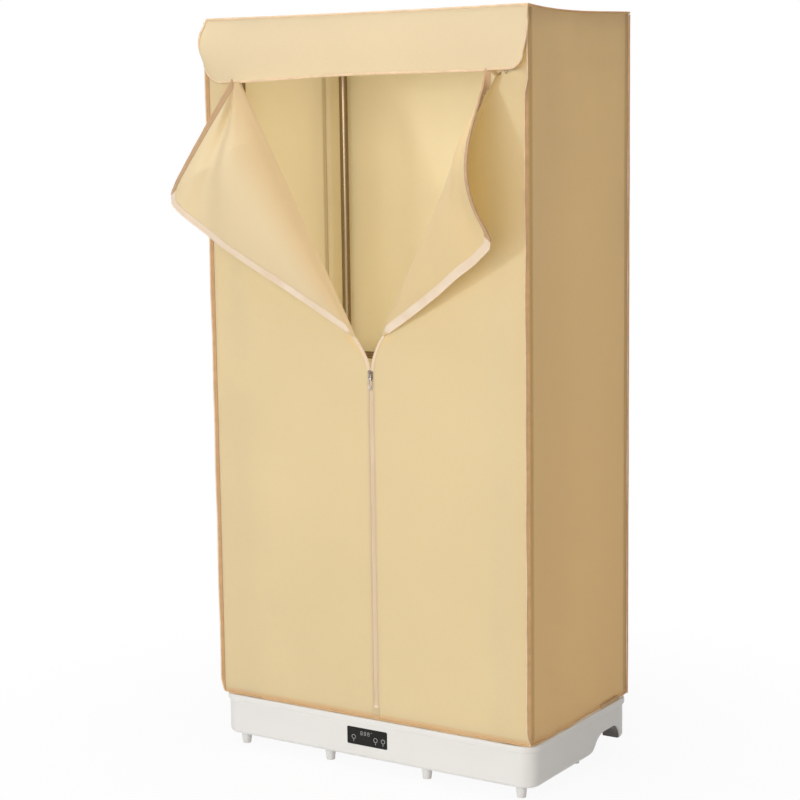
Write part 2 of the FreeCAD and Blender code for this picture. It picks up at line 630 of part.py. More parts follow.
def fan_rotor():
    body = new_body("fan_rotor")
    hub_sketch = sketch_on(body, "XY_Plane", ("0", "0", "0"))
    circle(hub_sketch, "dims.motor_radius")
    pad(body, hub_sketch, "dims.hub_height")
    shaft_sketch = sketch_on(body, "XY_Plane", ("0", "0", "dims.hub_height"))
    circle(shaft_sketch, "dims.shaft_radius")
    pad(body, shaft_sketch, "dims.hub_gap + dims.shaft_depth")
    root = ("0", "dims.hub_height / 2", "dims.motor_radius - dims.blade_root")
    blade_sketch = sketch_on(body, "YZ_Plane", root, value("dims.blade_pitch"))
    rectangle(blade_sketch, "(dims.blade_chord / 2)", "(dims.blade_thickness / 2)")
    reach = "dims.fan_bore - dims.blade_tip_gap - dims.motor_radius + dims.blade_root"
    blade = pad(body, blade_sketch, reach)
    doc.recompute()
    ring = body.newObject("PartDesign::PolarPattern", "blade_ring")
    ring.Originals = [blade]
    ring.Axis = (origin_feature(body, "Z_Axis"), [""])
    ring.Angle = 360
    ring.Occurrences = BLADES
    body.Tip = ring
    place(body, ("0", "dims.fan_y", f"{MOTOR_LOW} - dims.hub_gap - dims.hub_height"))
    keep(body, "fan_rotor")


def heater():
    height = f"({DECK_LOW} - {FAN_TOP})"
    middle = ("0", "dims.fan_y", f"{FAN_TOP} + {height} / 2")
    inside = "(dims.fan_size - 2 * dims.heater_wall)"
    duct = centred_box("duct_block", ("dims.fan_size", "dims.fan_size", height), middle)
    way = centred_box("duct_way", (inside, inside, height), middle)
    keep(cut("heater_duct", duct, [way]), "heater_duct")
    bars = [heater_bar(index - (HEATER_BARS - 1) / 2, inside, middle[2]) for index in range(HEATER_BARS)]
    keep(group("ptc_heater", bars), "ptc_heater")
    spot = ("dims.fan_size / 2", "dims.fan_y", middle[2])
    keep(rod("thermal_cutout", "dims.cutout_radius", "dims.cutout_height", spot, "X"), "thermal_cutout")


def heater_bar(step, length, height):
    """Bar across the duct with cooling fins over and under a solid core."""
    body = new_body("heater_bar")
    front = sketch_on(body, "XZ_Plane", ("0", "0", "-dims.ptc_width / 2"))
    rectangle(front, f"({length} / 2)", "(dims.ptc_height / 2)")
    pad(body, front, "dims.ptc_width")
    doc.recompute()
    count = int(value(f"{length} / dims.fin_pitch")) - 1
    slots = []
    for side in (-1, 1):
        depth = "(dims.ptc_height - dims.ptc_core) / 2"
        offset = (f"-{count - 1} / 2 * dims.fin_pitch", f"{side} * (dims.ptc_core / 2 + {depth} / 2)",
                  "-dims.ptc_width / 2")
        sketch = sketch_on(body, "XZ_Plane", offset)
        rectangle(sketch, "(dims.fin_gap / 2)", f"({depth} / 2)")
        slot = body.newObject("PartDesign::Pocket", "fin_slot")
        slot.Profile = sketch
        slot.setExpression("Length", "dims.ptc_width")
        slot.Reversed = True
        slots.append(slot)
        doc.recompute()
    row = body.newObject("PartDesign::LinearPattern", "fin_row")
    row.Originals = slots
    row.Direction = (origin_feature(body, "X_Axis"), [""])
    row.setExpression("Length", f"{count - 1} * dims.fin_pitch")
    row.Occurrences = count
    body.Tip = row
    return place(body, ("0", f"dims.fan_y + {step} * dims.ptc_pitch", height))


def controls():
    lens = panel_block("control_panel", "0", f"-{CAVITY_Y}", "dims.base_wall + dims.panel_proud")
    keep(lens, "control_panel")
    board = box("control_board", ("dims.board_length", "dims.board_thickness", "dims.board_height"),
                ("dims.panel_x - dims.board_length / 2", BOARD_Y, f"{PANEL_Z} - dims.board_height / 2"))
    keep(board, "control_board")
    display_z = f"{PANEL_Z} - dims.display_height / 2"
    display = box("display_module", ("dims.display_width", "dims.board_offset", "dims.display_height"),
                  ("dims.panel_x - dims.display_width / 2", f"-{CAVITY_Y}", display_z))
    keep(display, "display_module")
    relays = []
    for side in (-1, 1):
        low = (f"dims.panel_x + {side} * dims.relay_pitch / 2 - dims.relay_width / 2",
               f"{BOARD_Y} + dims.board_thickness", f"{PANEL_Z} - dims.relay_height / 2")
        relays.append(box("relay", ("dims.relay_width", "dims.relay_depth", "dims.relay_height"), low))
    keep(group("relays", relays), "relays")


def cord_gland():
    flange = ("dims.gland_flange_radius", "dims.gland_flange")
    outside = rod("gland_cap", *flange, (GLAND_X, WALL_Y, GLAND_Z), "Y")
    neck = rod("gland_neck", "dims.gland_radius", "dims.base_wall", (GLAND_X, CAVITY_Y, GLAND_Z), "Y")
    nut_y = f"({CAVITY_Y} - dims.gland_flange)"
    nut = rod("gland_nut", *flange, (GLAND_X, nut_y, GLAND_Z), "Y")
    bore = rod("gland_bore", "dims.cord_hole_radius", "dims.base_wall + 2 * dims.gland_flange",
               (GLAND_X, nut_y, GLAND_Z), "Y")
    keep(cut("cord_gland", fuse("gland_body", [outside, neck, nut]), [bore]), "cord_gland")


def rail_socket(x, y, z, axis, way):
    """Boss and bore for a rail that leaves an upright along axis, towards way."""
    start = {"X": f"{x} - dims.rail_reach" if way < 0 else x, "Y": f"{y} - dims.rail_reach" if way < 0 else y}
    mouth = {"X": f"{x} - dims.rail_reach" if way < 0 else f"{x} + {RAIL_IN}",
             "Y": f"{y} - dims.rail_reach" if way < 0 else f"{y} + {RAIL_IN}"}
    boss_at = (start["X"], y, z) if axis == "X" else (x, start["Y"], z)
    bore_at = (mouth["X"], y, z) if axis == "X" else (x, mouth["Y"], z)
    boss = rod("rail_boss", BOSS_R, "dims.rail_reach", boss_at, axis)
    bore = rod("rail_bore", "dims.rail_radius + dims.fit_gap", "dims.rail_seat", bore_at, axis)
    return boss, bore


def frame_joints():
    middles = []
    tops = []
    for side, end in CORNERS:
        x = f"{SIGN[side]} * {POST_X}"
        y = f"{SIGN[end]} * {POST_Y}"
        low = f"({MID_Z} - dims.sleeve_length / 2)"
        depth = "(dims.sleeve_length - dims.joint_web) / 2"
        bodies = [rod("mid_sleeve", SLEEVE_R, "dims.sleeve_length", (x, y, low))]
        bores = [rod("mid_bore", POST_HOLE, depth, (x, y, low)),
                 rod("mid_bore", POST_HOLE, depth, (x, y, f"{MID_Z} + dims.joint_web / 2"))]
        for axis in "XY" if end == "rear" else "Y":
            boss, bore = rail_socket(x, y, MID_Z, axis, -SIGN[side if axis == "X" else end])
            bodies.append(boss)
            bores.append(bore)
        middles.append(cut("mid_joint", fuse("mid_body", bodies), bores))
        low = f"({RAIL_Z} - dims.sleeve_length)"
        bodies = [rod("top_sleeve", SLEEVE_R, f"dims.sleeve_length + {SLEEVE_R}", (x, y, low))]
        bores = [rod("top_bore", POST_HOLE, "dims.sleeve_length - dims.corner_stop", (x, y, low))]
        for axis in "XY":
            boss, bore = rail_socket(x, y, RAIL_Z, axis, -SIGN[side if axis == "X" else end])
            bodies.append(boss)
            bores.append(bore)
        tops.append(cut("top_joint", fuse("top_body", bodies), bores))
    keep(group("mid_joints", middles), "mid_joints")
    keep(group("top_joints", tops), "top_joints")


def frame_tubes():
    for side, end in CORNERS:
        x = f"{SIGN[side]} * {POST_X}"
        y = f"{SIGN[end]} * {POST_Y}"
        lower = f"lower_post_{end}_{side}"
        upper = f"upper_post_{end}_{side}"
        length = f"{MID_Z} - dims.joint_web / 2 - {DECK_TOP}"
        keep(tube(lower, "dims.post_radius", length, (x, y, DECK_TOP)), lower)
        start = f"({MID_Z} + dims.joint_web / 2)"
        length = f"{RAIL_Z} - dims.corner_stop - {start}"
        keep(tube(upper, "dims.post_radius", length, (x, y, start)), upper)
    long_start = f"(-{POST_X} + {RAIL_IN})"
    short_start = f"(-{POST_Y} + {RAIL_IN})"
    for label, y, z in [("top_rail_front", f"-{POST_Y}", RAIL_Z), ("top_rail_rear", POST_Y, RAIL_Z),
                        ("mid_rail_rear", POST_Y, MID_Z), ("hanging_rod_front", "-dims.rod_y", RAIL_Z),
                        ("hanging_rod_rear", "dims.rod_y", RAIL_Z)]:
        keep(tube(label, "dims.rail_radius", f"-2 * {long_start}", (long_start, y, z), "X"), label)
    for label, side, z in [("top_rail_left", -1, RAIL_Z), ("top_rail_right", 1, RAIL_Z),
                           ("mid_rail_left", -1, MID_Z), ("mid_rail_right", 1, MID_Z)]:
        start = (f"{side} * {POST_X}", short_start, z)
        keep(tube(label, "dims.rail_radius", f"-2 * {short_start}", start, "Y"), label)


def rod_tees():
    tees = []
    for side, end in CORNERS:
        x = f"{SIGN[side]} * {POST_X}"
        y = f"{SIGN[end]} * dims.rod_y"
        start = (x, f"{y} - dims.tee_length / 2", RAIL_Z)
        ring = rod("tee_ring", BOSS_R, "dims.tee_length", start, "Y")
        hole = rod("tee_hole", "dims.rail_radius + dims.fit_gap", "dims.tee_length", start, "Y")
        boss, bore = rail_socket(x, y, RAIL_Z, "X", -SIGN[side])
        tees.append(cut("rod_tee", fuse("tee_body", [ring, boss]), [hole, bore]))
    keep(group("rod_tees", tees), "rod_tees")


def cover_panels():
    rise = f"{TOP} - dims.cloth - {HEM}"
    keep(box("cover_back", ("dims.cover_width", "dims.cloth", rise),
             (f"-{HALF_X}", f"{HALF_Y} - dims.cloth", HEM)), "cover_back")
    for side in ("left", "right"):
        x = f"-{HALF_X}" if side == "left" else f"{HALF_X} - dims.cloth"
        panel = box("cover_" + side, ("dims.cloth", "dims.cover_depth - 2 * dims.cloth", rise),
                    (x, f"-{HALF_Y} + dims.cloth", HEM))
        keep(panel, "cover_" + side)
    keep(box("cover_top", ("dims.cover_width", "dims.cover_depth", "dims.cloth"),
             (f"-{HALF_X}", f"-{HALF_Y}", f"{TOP} - dims.cloth")), "cover_top")
    header_low = f"({PANEL_TOP} + dims.header_gap)"
    keep(box("front_header", ("dims.cover_width", "dims.cloth", f"{TOP} - dims.cloth - {header_low}"),
             (f"-{HALF_X}", f"-{HALF_Y}", header_low)), "front_header")
    for side, edge, top_x in [("left", ZIP_LEFT, LEFT_TOP_X), ("right", ZIP_RIGHT, RIGHT_TOP_X)]:
        outer = f"{SIGN[side]} * {HALF_X}"
        corners = [(outer, HEM), (edge, HEM), (edge, OPENING_Z), (top_x, CREASE_TOP), (top_x, PANEL_TOP),
                   (outer, PANEL_TOP)]
        if side == "right":
            corners.reverse()
        label = f"front_{side}_panel"
        keep(front_plate(label, corners, f"(-{HALF_Y} + dims.cloth)", "dims.cloth"), label)


def edge_piping():
    off_x = f"({HALF_X} + {PIPING_OFF})"
    off_y = f"({HALF_Y} + {PIPING_OFF})"
    trim = "2 * dims.piping_radius"
    cords = []
    for side, end in CORNERS:
        start = (f"{SIGN[side]} * {off_x}", f"{SIGN[end]} * {off_y}", HEM)
        cords.append(rod("corner_piping", "dims.piping_radius", f"{TOP} - {HEM} - {trim}", start))
    for end in (-1, 1):
        start = (f"-{HALF_X} + {trim}", f"{end} * {off_y}", f"{TOP} + {PIPING_OFF}")
        cords.append(rod("long_piping", "dims.piping_radius", f"dims.cover_width - 2 * {trim}", start, "X"))
        start = (f"{end} * {off_x}", f"-{HALF_Y} + {trim}", f"{TOP} + {PIPING_OFF}")
        cords.append(rod("short_piping", "dims.piping_radius", f"dims.cover_depth - 2 * {trim}", start, "Y"))
    keep(group("edge_piping", cords), "edge_piping")


def curved_strip(start, crown, end, across):
    """Outline of a strip of cloth along the arc through three points, with its thickness towards across."""
    lift = across * (value("dims.cloth") / 2)
    near = [point - lift for point in (start, crown, end)]
    far = [point + lift for point in (start, crown, end)]
    edges = [
        Part.Arc(*near).toShape(),
        Part.LineSegment(near[2], far[2]).toShape(),
        Part.Arc(far[2], far[1], far[0]).toShape(),
        Part.LineSegment(far[0], near[0]).toShape(),
    ]
    return Part.Wire(edges)


def valance():
    """Hanging flap: a swelling strip along X, trimmed to an outline with rounded lower corners."""
    half = value(f"{HALF_X} - dims.cloth")
    seam_y = value(f"-({HALF_Y} + {PIPING_OFF})")
    seam_z = value(f"{TOP} + {PIPING_OFF} - dims.piping_radius - dims.cloth_gap")
    swell = value("dims.valance_swell")
    low = value(f"{TOP} - dims.valance_drop")
    corner = value("dims.valance_corner")
    top = vec(-half, seam_y, seam_z)
    foot = vec(-half, seam_y - swell, low)
    crown = (top + foot) / 2 + vec(0, -swell / 4, 0)
    along = foot - top
    across = vec(0, along.z, -along.y).normalize()
    strip = Part.Face(curved_strip(top, crown, foot, across)).extrude(vec(2 * half, 0, 0))
    front = foot.y - corner
    bend = corner * (1 - EIGHTH)
    # The trimming outline reaches over the strip's upper edge and just under its lower edge.
    upper = seam_z + corner
    lower = low - value("dims.cloth")
    points = [vec(-half, front, upper), vec(-half, front, lower + corner), vec(-half + corner, front, lower),
              vec(half - corner, front, lower), vec(half, front, lower + corner), vec(half, front, upper)]
    edges = [
        Part.LineSegment(points[0], points[1]).toShape(),
        Part.Arc(points[1], vec(-half + bend, front, lower + bend), points[2]).toShape(),
        Part.LineSegment(points[2], points[3]).toShape(),
        Part.Arc(points[3], vec(half - bend, front, lower + bend), points[4]).toShape(),
        Part.LineSegment(points[4], points[5]).toShape(),
        Part.LineSegment(points[5], points[0]).toShape(),
    ]
    trim = Part.Face(Part.Wire(edges)).extrude(vec(0, 2 * corner + swell, 0))
    keep(made("valance", strip.common(trim)), "valance")


class Crease:
    """Fold line of one lapel: from the foot of the opening up to its upper end, with the panel beside it."""

    def __init__(self, side):
        edge, top_x = (ZIP_LEFT, LEFT_TOP_X) if side == "left" else (ZIP_RIGHT, RIGHT_TOP_X)
        self.plane = value(CLOTH_Y)
        self.gap = value("dims.cloth_gap")
        self.foot = vec(value(edge), self.plane, value(OPENING_Z))
        self.head = vec(value(top_x), self.plane, value(CREASE_TOP))
        self.along = (self.head - self.foot).normalize()
        self.out = vec(0, -1, 0)
        self.beside = self.along.cross(self.out) * SIGN[side]

    def roll(self, share):
        return value("dims.roll_low") + (value("dims.roll_high") - value("dims.roll_low")) * share

    def point(self, share, beside, out):
        return self.foot + (self.head - self.foot) * share + self.beside * beside + self.out * out


def rolled_fold(side):
    """Cloth that turns over from the panel to the lapel, as a half roll that widens upwards."""
    crease = Crease(side)
    cloth = value("dims.cloth")
    sections = []
    for share in FOLD_ENDS:
        roll = crease.roll(share)
        inner = roll - cloth / 2
        outer = roll + cloth / 2

        def spot(radius, beside, out):
            return crease.point(share, -crease.gap + radius * beside, roll + radius * out)

        edges = [
            Part.Arc(spot(outer, 0, -1), spot(outer, -EIGHTH, -EIGHTH), spot(outer, -1, 0)).toShape(),
            Part.Arc(spot(outer, -1, 0), spot(outer, -EIGHTH, EIGHTH), spot(outer, 0, 1)).toShape(),
            Part.LineSegment(spot(outer, 0, 1), spot(inner, 0, 1)).toShape(),
            Part.Arc(spot(inner, 0, 1), spot(inner, -EIGHTH, EIGHTH), spot(inner, -1, 0)).toShape(),
            Part.Arc(spot(inner, -1, 0), spot(inner, -EIGHTH, -EIGHTH), spot(inner, 0, -1)).toShape(),
            Part.LineSegment(spot(inner, 0, -1), spot(outer, 0, -1)).toShape(),
        ]
        sections.append(Part.Wire(edges))
    label = side + "_fold"
    keep(made(label, Part.makeLoft(sections, True, True)), label)


def lapel(side):
    """Open upper corner of a front panel, laid over: ruled between arcs from the crease to its free edges."""
    crease = Crease(side)
    turn_share = LAPEL_TURN[side]
    shares = [turn_share * station for station in ZIP_STATIONS]
    shares += [turn_share + (1 - turn_share) * station for station in HEM_STATIONS]
    size = {name: value(f"dims.{side}_{name}") for name in
            ("corner_side", "corner_out", "corner_rise", "bulge", "zip_sag", "hem_bow")}
    corner = vec(crease.head.x + SIGN[side] * size["corner_side"], crease.plane - size["corner_out"],
                 crease.foot.z + size["corner_rise"])
    seam = value("dims.cloth") / 2
    foot = crease.point(0, seam, 2 * crease.roll(0))
    head = crease.point(1, seam, 2 * crease.roll(1))
    widest = (corner - crease.point(turn_share, 0, 2 * crease.roll(turn_share))).Length
    sections = []
    for share in shares:
        start = crease.point(share, seam, 2 * crease.roll(share))
        if share <= turn_share:
            part = share / turn_share
            end = foot + (corner - foot) * part + crease.beside * (size["zip_sag"] * 4 * part * (1 - part))
            crown = size["bulge"]
        else:
            part = (share - turn_share) / (1 - turn_share)
            end = corner + (head - corner) * part + crease.out * (size["hem_bow"] * 4 * part * (1 - part))
            crown = size["bulge"] * (1 - part)
        chord = end - start
        across = chord.cross(crease.out).cross(chord).normalize()
        middle = (start + end) / 2 + across * (crown * chord.Length / widest)
        sections.append(curved_strip(start, middle, end, across))
    label = side + "_lapel"
    keep(made(label, Part.makeLoft(sections, True, True)), label)


def zip_rows():
    """Two rows of teeth with a running slot between them, and the stop that joins their lower ends."""
    front = f"{CLOTH_Y} - dims.teeth_thickness / 2"
    for side, low_x in [("left", ZIP_LEFT), ("right", f"{ZIP_RIGHT} - dims.teeth_width")]:
        label = f"zip_row_{side}"
        row = box(label, ("dims.teeth_width", "dims.teeth_thickness", f"{OPENING_Z} - {ZIP_LOW}"),
                  (low_x, front, ZIP_LOW))
        keep(row, label)
    stop_size = ("dims.zip_slot + 2 * dims.teeth_width", "dims.teeth_thickness", "dims.stop_height")
    keep(box("zip_stop", stop_size, (ZIP_LEFT, front, f"{ZIP_LOW} - dims.stop_height")), "zip_stop")


def zip_slider():
    back = f"{CLOTH_Y} + dims.teeth_thickness / 2 + dims.slider_gap"
    size = ("dims.slider_width", "dims.slider_plate", "dims.slider_height")
    low_z = f"{SLIDER_Z} - dims.slider_height / 2"
    low_x = "dims.zip_x - dims.slider_width / 2"
    pieces = [box("slider_plate", size, (low_x, y, low_z)) for y in (SLIDER_FRONT, back)]
    span = f"{back} - {SLIDER_FRONT} + dims.slider_plate"
    pieces.append(box("slider_web", ("dims.slider_web", span, "dims.slider_height"),
                      ("dims.zip_x - dims.slider_web / 2", SLIDER_FRONT, low_z)))
    bail_y = f"({SLIDER_FRONT} + (dims.slider_plate - dims.bail_proud) / 2)"
    bail_size = ("dims.bail_width", "dims.bail_proud + dims.slider_plate", "dims.bail_height")
    pieces.append(centred_box("slider_bail", bail_size, ("dims.zip_x", bail_y, SLIDER_Z)))
    hole = rod("bail_hole", "dims.pin_radius + dims.run_gap", "dims.slider_width",
               (low_x, PIN_Y, SLIDER_Z), "X")
    keep(cut("zip_slider", fuse("slider_body", pieces), [hole]), "zip_slider")


def zip_pull():
    pin = rod("pull_pin", "dims.pin_radius", "dims.pull_width",
              ("dims.zip_x - dims.pull_width / 2", PIN_Y, SLIDER_Z), "X")
    pieces = [pin]
    corner = "sqrt((dims.bail_height / 2) ^ 2 + (dims.bail_proud / 2) ^ 2)"
    tab_top = f"({SLIDER_Z} - {corner} - dims.slider_gap)"
    for side in (-1, 1):
        middle = (f"dims.zip_x + {side} * (dims.pull_width - dims.pull_arm) / 2", PIN_Y,
                  f"({SLIDER_Z} + {tab_top} - dims.pull_arm) / 2")
        arm = ("dims.pull_arm", "dims.pull_thickness", f"({SLIDER_Z} - {tab_top} + dims.pull_arm)")
        pieces.append(centred_box("pull_side", arm, middle))
    tab_low = f"({SLIDER_Z} - dims.pull_length)"
    tab = box("pull_tab", ("dims.pull_width", "dims.pull_thickness", f"{tab_top} - {tab_low}"),
              ("dims.zip_x - dims.pull_width / 2", f"{PIN_Y} - dims.pull_thickness / 2", tab_low))
    keep(fuse("zip_pull", pieces + [tab]), "zip_pull")


def top_zip_slider():
    """Slider of the upper zip, on the slot between the front panels and the header."""
    low_x = f"({RIGHT_TOP_X} + dims.top_slider_offset)"
    slot_z = f"({PANEL_TOP} + dims.header_gap / 2)"
    front = f"({CLOTH_Y} - dims.cloth / 2 - dims.slider_gap - dims.slider_plate)"
    back = f"({CLOTH_Y} + dims.cloth / 2 + dims.slider_gap)"
    size = ("dims.top_slider_length", "dims.slider_plate", "dims.top_slider_height")
    low_z = f"{slot_z} - dims.top_slider_height / 2"
    plates = [box("top_slider_plate", size, (low_x, y, low_z)) for y in (front, back)]
    web = box("top_slider_web", ("dims.top_slider_length", f"{back} - {front}", "dims.slider_web"),
              (low_x, front, f"{slot_z} - dims.slider_web / 2"))
    keep(fuse("top_zip_slider", plates + [web]), "top_zip_slider")


base_shell()
base_deck()
deck_screws()
feet()
grille("outlet_grille", "dims.grille_width", "dims.grille_depth", DECK_TOP)
grille("intake_grille", "dims.intake_size", "dims.intake_size", FLOOR_TOP)
fan_frame()
fan_motor()
fan_rotor()
heater()
controls()
cord_gland()
frame_joints()
frame_tubes()
rod_tees()
cover_panels()
edge_piping()
valance()
for flap in ("left", "right"):
    rolled_fold(flap)
    lapel(flap)
zip_rows()
zip_slider()
zip_pull()
top_zip_slider()
doc.recompute()

for item in doc.Objects:
    if "Invalid" in item.State or "Error" in item.State:
        raise RuntimeError(f"{item.Name} failed: {item.State}")
for item in subparts:
    if item.Shape.isNull() or not item.Shape.isValid() or not item.Shape.Solids:
        raise RuntimeError(f"{item.Label} has no valid solid")

os.makedirs("parts", exist_ok=True)
for item in subparts:
    item.Shape.exportStep(os.path.join("parts", item.Label + ".step"))
    print(item.Label, len(item.Shape.Solids), round(item.Shape.Volume))
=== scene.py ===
"""Wardrobe clothes dryer: cloth, trim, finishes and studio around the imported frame. Metres, Z up."""
import json
import math
from contextlib import contextmanager

import bpy
import numpy as np
from mathutils import Matrix, Vector


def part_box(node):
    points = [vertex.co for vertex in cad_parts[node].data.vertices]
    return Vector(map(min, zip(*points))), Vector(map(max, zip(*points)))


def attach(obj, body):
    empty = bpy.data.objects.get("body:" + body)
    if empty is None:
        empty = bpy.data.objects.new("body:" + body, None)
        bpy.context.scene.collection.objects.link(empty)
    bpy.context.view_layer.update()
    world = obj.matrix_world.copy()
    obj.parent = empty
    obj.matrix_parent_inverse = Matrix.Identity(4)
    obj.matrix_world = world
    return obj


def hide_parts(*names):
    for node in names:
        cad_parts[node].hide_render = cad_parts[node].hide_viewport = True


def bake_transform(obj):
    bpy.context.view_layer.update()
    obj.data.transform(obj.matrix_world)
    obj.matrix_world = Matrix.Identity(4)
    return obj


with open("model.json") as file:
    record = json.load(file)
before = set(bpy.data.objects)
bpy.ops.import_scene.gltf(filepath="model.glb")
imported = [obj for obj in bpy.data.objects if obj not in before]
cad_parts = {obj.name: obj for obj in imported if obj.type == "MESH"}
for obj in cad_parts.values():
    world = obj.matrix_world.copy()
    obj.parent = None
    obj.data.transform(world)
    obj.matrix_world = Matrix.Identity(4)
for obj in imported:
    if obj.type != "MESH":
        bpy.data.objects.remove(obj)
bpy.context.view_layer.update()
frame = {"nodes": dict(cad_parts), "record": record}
nodes = frame["nodes"]
bpy.ops.object.select_all(action="DESELECT")
scene = bpy.context.scene
scene.view_settings.view_transform = "Standard"

# Cabinet cloth: half sizes, lower hem, top seam and top of the front panels.
HALF_X, HALF_Y = 0.380, 0.212
HEM, TOP, PANEL_TOP = 0.116, 1.556, 1.440
# Thickness of the cloth and of the zip tape.
CLOTH, TAPE = 0.0012, 0.0008
# Plane of the front and the way out of it, upper end of the creases, and how far the seam cords stand off.
FRONT = -0.2114
OUT = np.array([0.0, -1.0, 0.0])
CREASE_TOP = 1.430
SEAM_OFF = 0.001626
# Stitches in from an edge and up from the lower hem, and the hem's doubled band.
EDGE_ROW, HEM_ROW, HEM_BAND = 0.007, 0.009, 0.011
LOW_ROW = [("across", HEM + HEM_ROW)]

# Front zip: panel edges and middle, lower end, slider's middle and top, the pull's pin, teeth and tapes.
ZIP_LEFT, ZIP_RIGHT, ZIP_X = 0.0095, 0.0195, 0.0145
ZIP_LOW, SLIDER_Z, SLIDER_TOP, PIN_Y = 0.145, 0.836, 0.846, -0.2175
TOOTH_SIZE, TOOTH_PITCH = (0.0034, 0.0022, 0.0013), 0.0026
TAPE_WIDE, UPPER_TAPE_WIDE, FOOT_TAPE_WIDE, TAPE_LIFT = 0.014, 0.012, 0.0055, 0.0011
BINDING = 0.0026

CREAM = (0.80, 0.72, 0.51)
# Warmer cream for the right side cover, as painted shade.
RIGHT_SIDE_SHADE_CREAM = (0.845, 0.70, 0.46)
# Paler cream for the valance, as painted light from above.
VALANCE_LIT_CREAM = (0.96, 0.87, 0.645)
AMBER = (0.80, 0.50, 0.255)
PALE = (0.95, 0.81, 0.65)
# Painted shade beside the lapel creases.
CREASE_SHADE_AMBER = (0.80, 0.62, 0.36)
GLOW = (0.865, 0.715, 0.40)
TUB_WHITE = (0.79, 0.785, 0.775)
RECESS_SHADE = (0.07, 0.052, 0.043)

# Hand recesses of the tub, darkened with painted shade: across, along and up to a height.
RECESS_X, RECESS_Y, RECESS_TOP = (0.2925, 0.3805), (0.0185, 0.1785), 0.0645

CAMERA_PLACE, CAMERA_TURN = (2.1796, -3.4645, 1.3475), (32.80, 8.204, -0.775)
CAMERA_LENS, CAMERA_SENSOR = 87.63, 36
ROOM_LIGHT = 0.28
WHITE, COOL, MILKY = (1, 1, 1), (0.82, 0.95, 1.10), (0.95, 0.98, 1.0)
LAMPS = (  # name, place, aim, size, power, tint
    ("key_softbox", (-1.3, -4.9, 1.45), (0, 0, 0.95), (0.6, 0.6), 53, WHITE),
    ("top_softbox", (-0.2, -0.4, 4.2), (0, 0, 1.5), (2.2, 1.8), 55, WHITE),
    ("front_fill", (0.7, -5.0, 1.5), (0, 0, 0.9), (3.4, 2.8), 70, WHITE),
    ("warm_fill", (1.9, -2.9, 1.9), (0.36, -0.2, 1.3), (1.0, 1.0), 16, (1, 0.80, 0.52)),
    ("inner_back_light", (0, -0.09, 0.85), (0, 1, 0.85), (0.60, 1.34), 1.70, COOL),
    ("inner_front_light", (0, -0.201, 0.83), (0, -1, 0.83), (0.755, 1.40), 2.3, COOL),
    ("inner_side_light_right", (0.366, 0, 0.83), (1, 0, 0.83), (0.42, 1.40), 0.75, MILKY),
    ("inner_side_light_left", (-0.366, 0, 0.83), (-1, 0, 0.83), (0.42, 1.40), 0.52, MILKY),
)


# Work with objects.

def deselect():
    bpy.ops.object.select_all(action="DESELECT")


def active():
    return bpy.context.view_layer.objects.active


def focus(piece):
    deselect()
    piece.select_set(True)
    bpy.context.view_layer.objects.active = piece


def linked(name, data):
    item = bpy.data.objects.new(name, data)
    scene.collection.objects.link(item)
    return item


def coat(piece, finish):
    piece.data.materials.clear()
    piece.data.materials.append(finish)


@contextmanager
def edit_mode(everything=True):
    """Edit mode on the active piece, with all of it selected or only what was picked."""
    bpy.ops.object.mode_set(mode="EDIT")
    if everything:
        bpy.ops.mesh.select_all(action="SELECT")
    yield
    bpy.ops.object.mode_set(mode="OBJECT")


def pick(piece, verts=(), edges=(), faces=()):
    """Selects these parts of a mesh and nothing else."""
    with edit_mode(False):
        bpy.ops.mesh.select_mode(type="FACE" if faces else "EDGE" if edges else "VERT")
        bpy.ops.mesh.select_all(action="DESELECT")
    mesh = piece.data
    for chosen, items in ((verts, mesh.vertices), (edges, mesh.edges), (faces, mesh.polygons)):
        for index in chosen:
            items[index].select = True


def finish_mesh(piece, thickness=None):
    focus(piece)
    if thickness:
        wall = piece.modifiers.new("wall", "SOLIDIFY")
        wall.thickness = thickness
        wall.offset = 0
        bpy.ops.object.modifier_apply(modifier=wall.name)
    bpy.ops.object.shade_smooth_by_angle(angle=math.radians(50))
    piece.select_set(False)


def join(name, pieces, finish=None):
    """Makes one piece of several, with one finish if it is given."""
    deselect()
    for piece in pieces:
        piece.select_set(True)
    bpy.context.view_layer.objects.active = pieces[0]
    bpy.ops.object.join()
    whole = active()
    whole.name = whole.data.name = name
    whole.select_set(False)
    if finish:
        coat(whole, finish)
        finish_mesh(whole)
    return whole


def dress(piece, *replaced, body="cabinet", slot="cover_cloth"):
    if replaced:
        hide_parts(*replaced)
    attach(piece, body)


# Finishes.

class Wire:
    """A value inside a finish. Sums on it add Math nodes."""

    def __init__(self, finish, socket):
        self.finish, self.socket = finish, socket

    def __add__(self, other):
        return self.finish.math("ADD", self, other)

    def __radd__(self, other):
        return self.finish.math("ADD", other, self)

    def __sub__(self, other):
        return self.finish.math("SUBTRACT", self, other)

    def __rsub__(self, other):
        return self.finish.math("SUBTRACT", other, self)

    def __mul__(self, other):
        return self.finish.math("MULTIPLY", self, other)

    def __rmul__(self, other):
        return self.finish.math("MULTIPLY", other, self)

    def __lt__(self, other):
        return self.finish.math("LESS_THAN", self, other)

    def __gt__(self, other):
        return self.finish.math("GREATER_THAN", self, other)


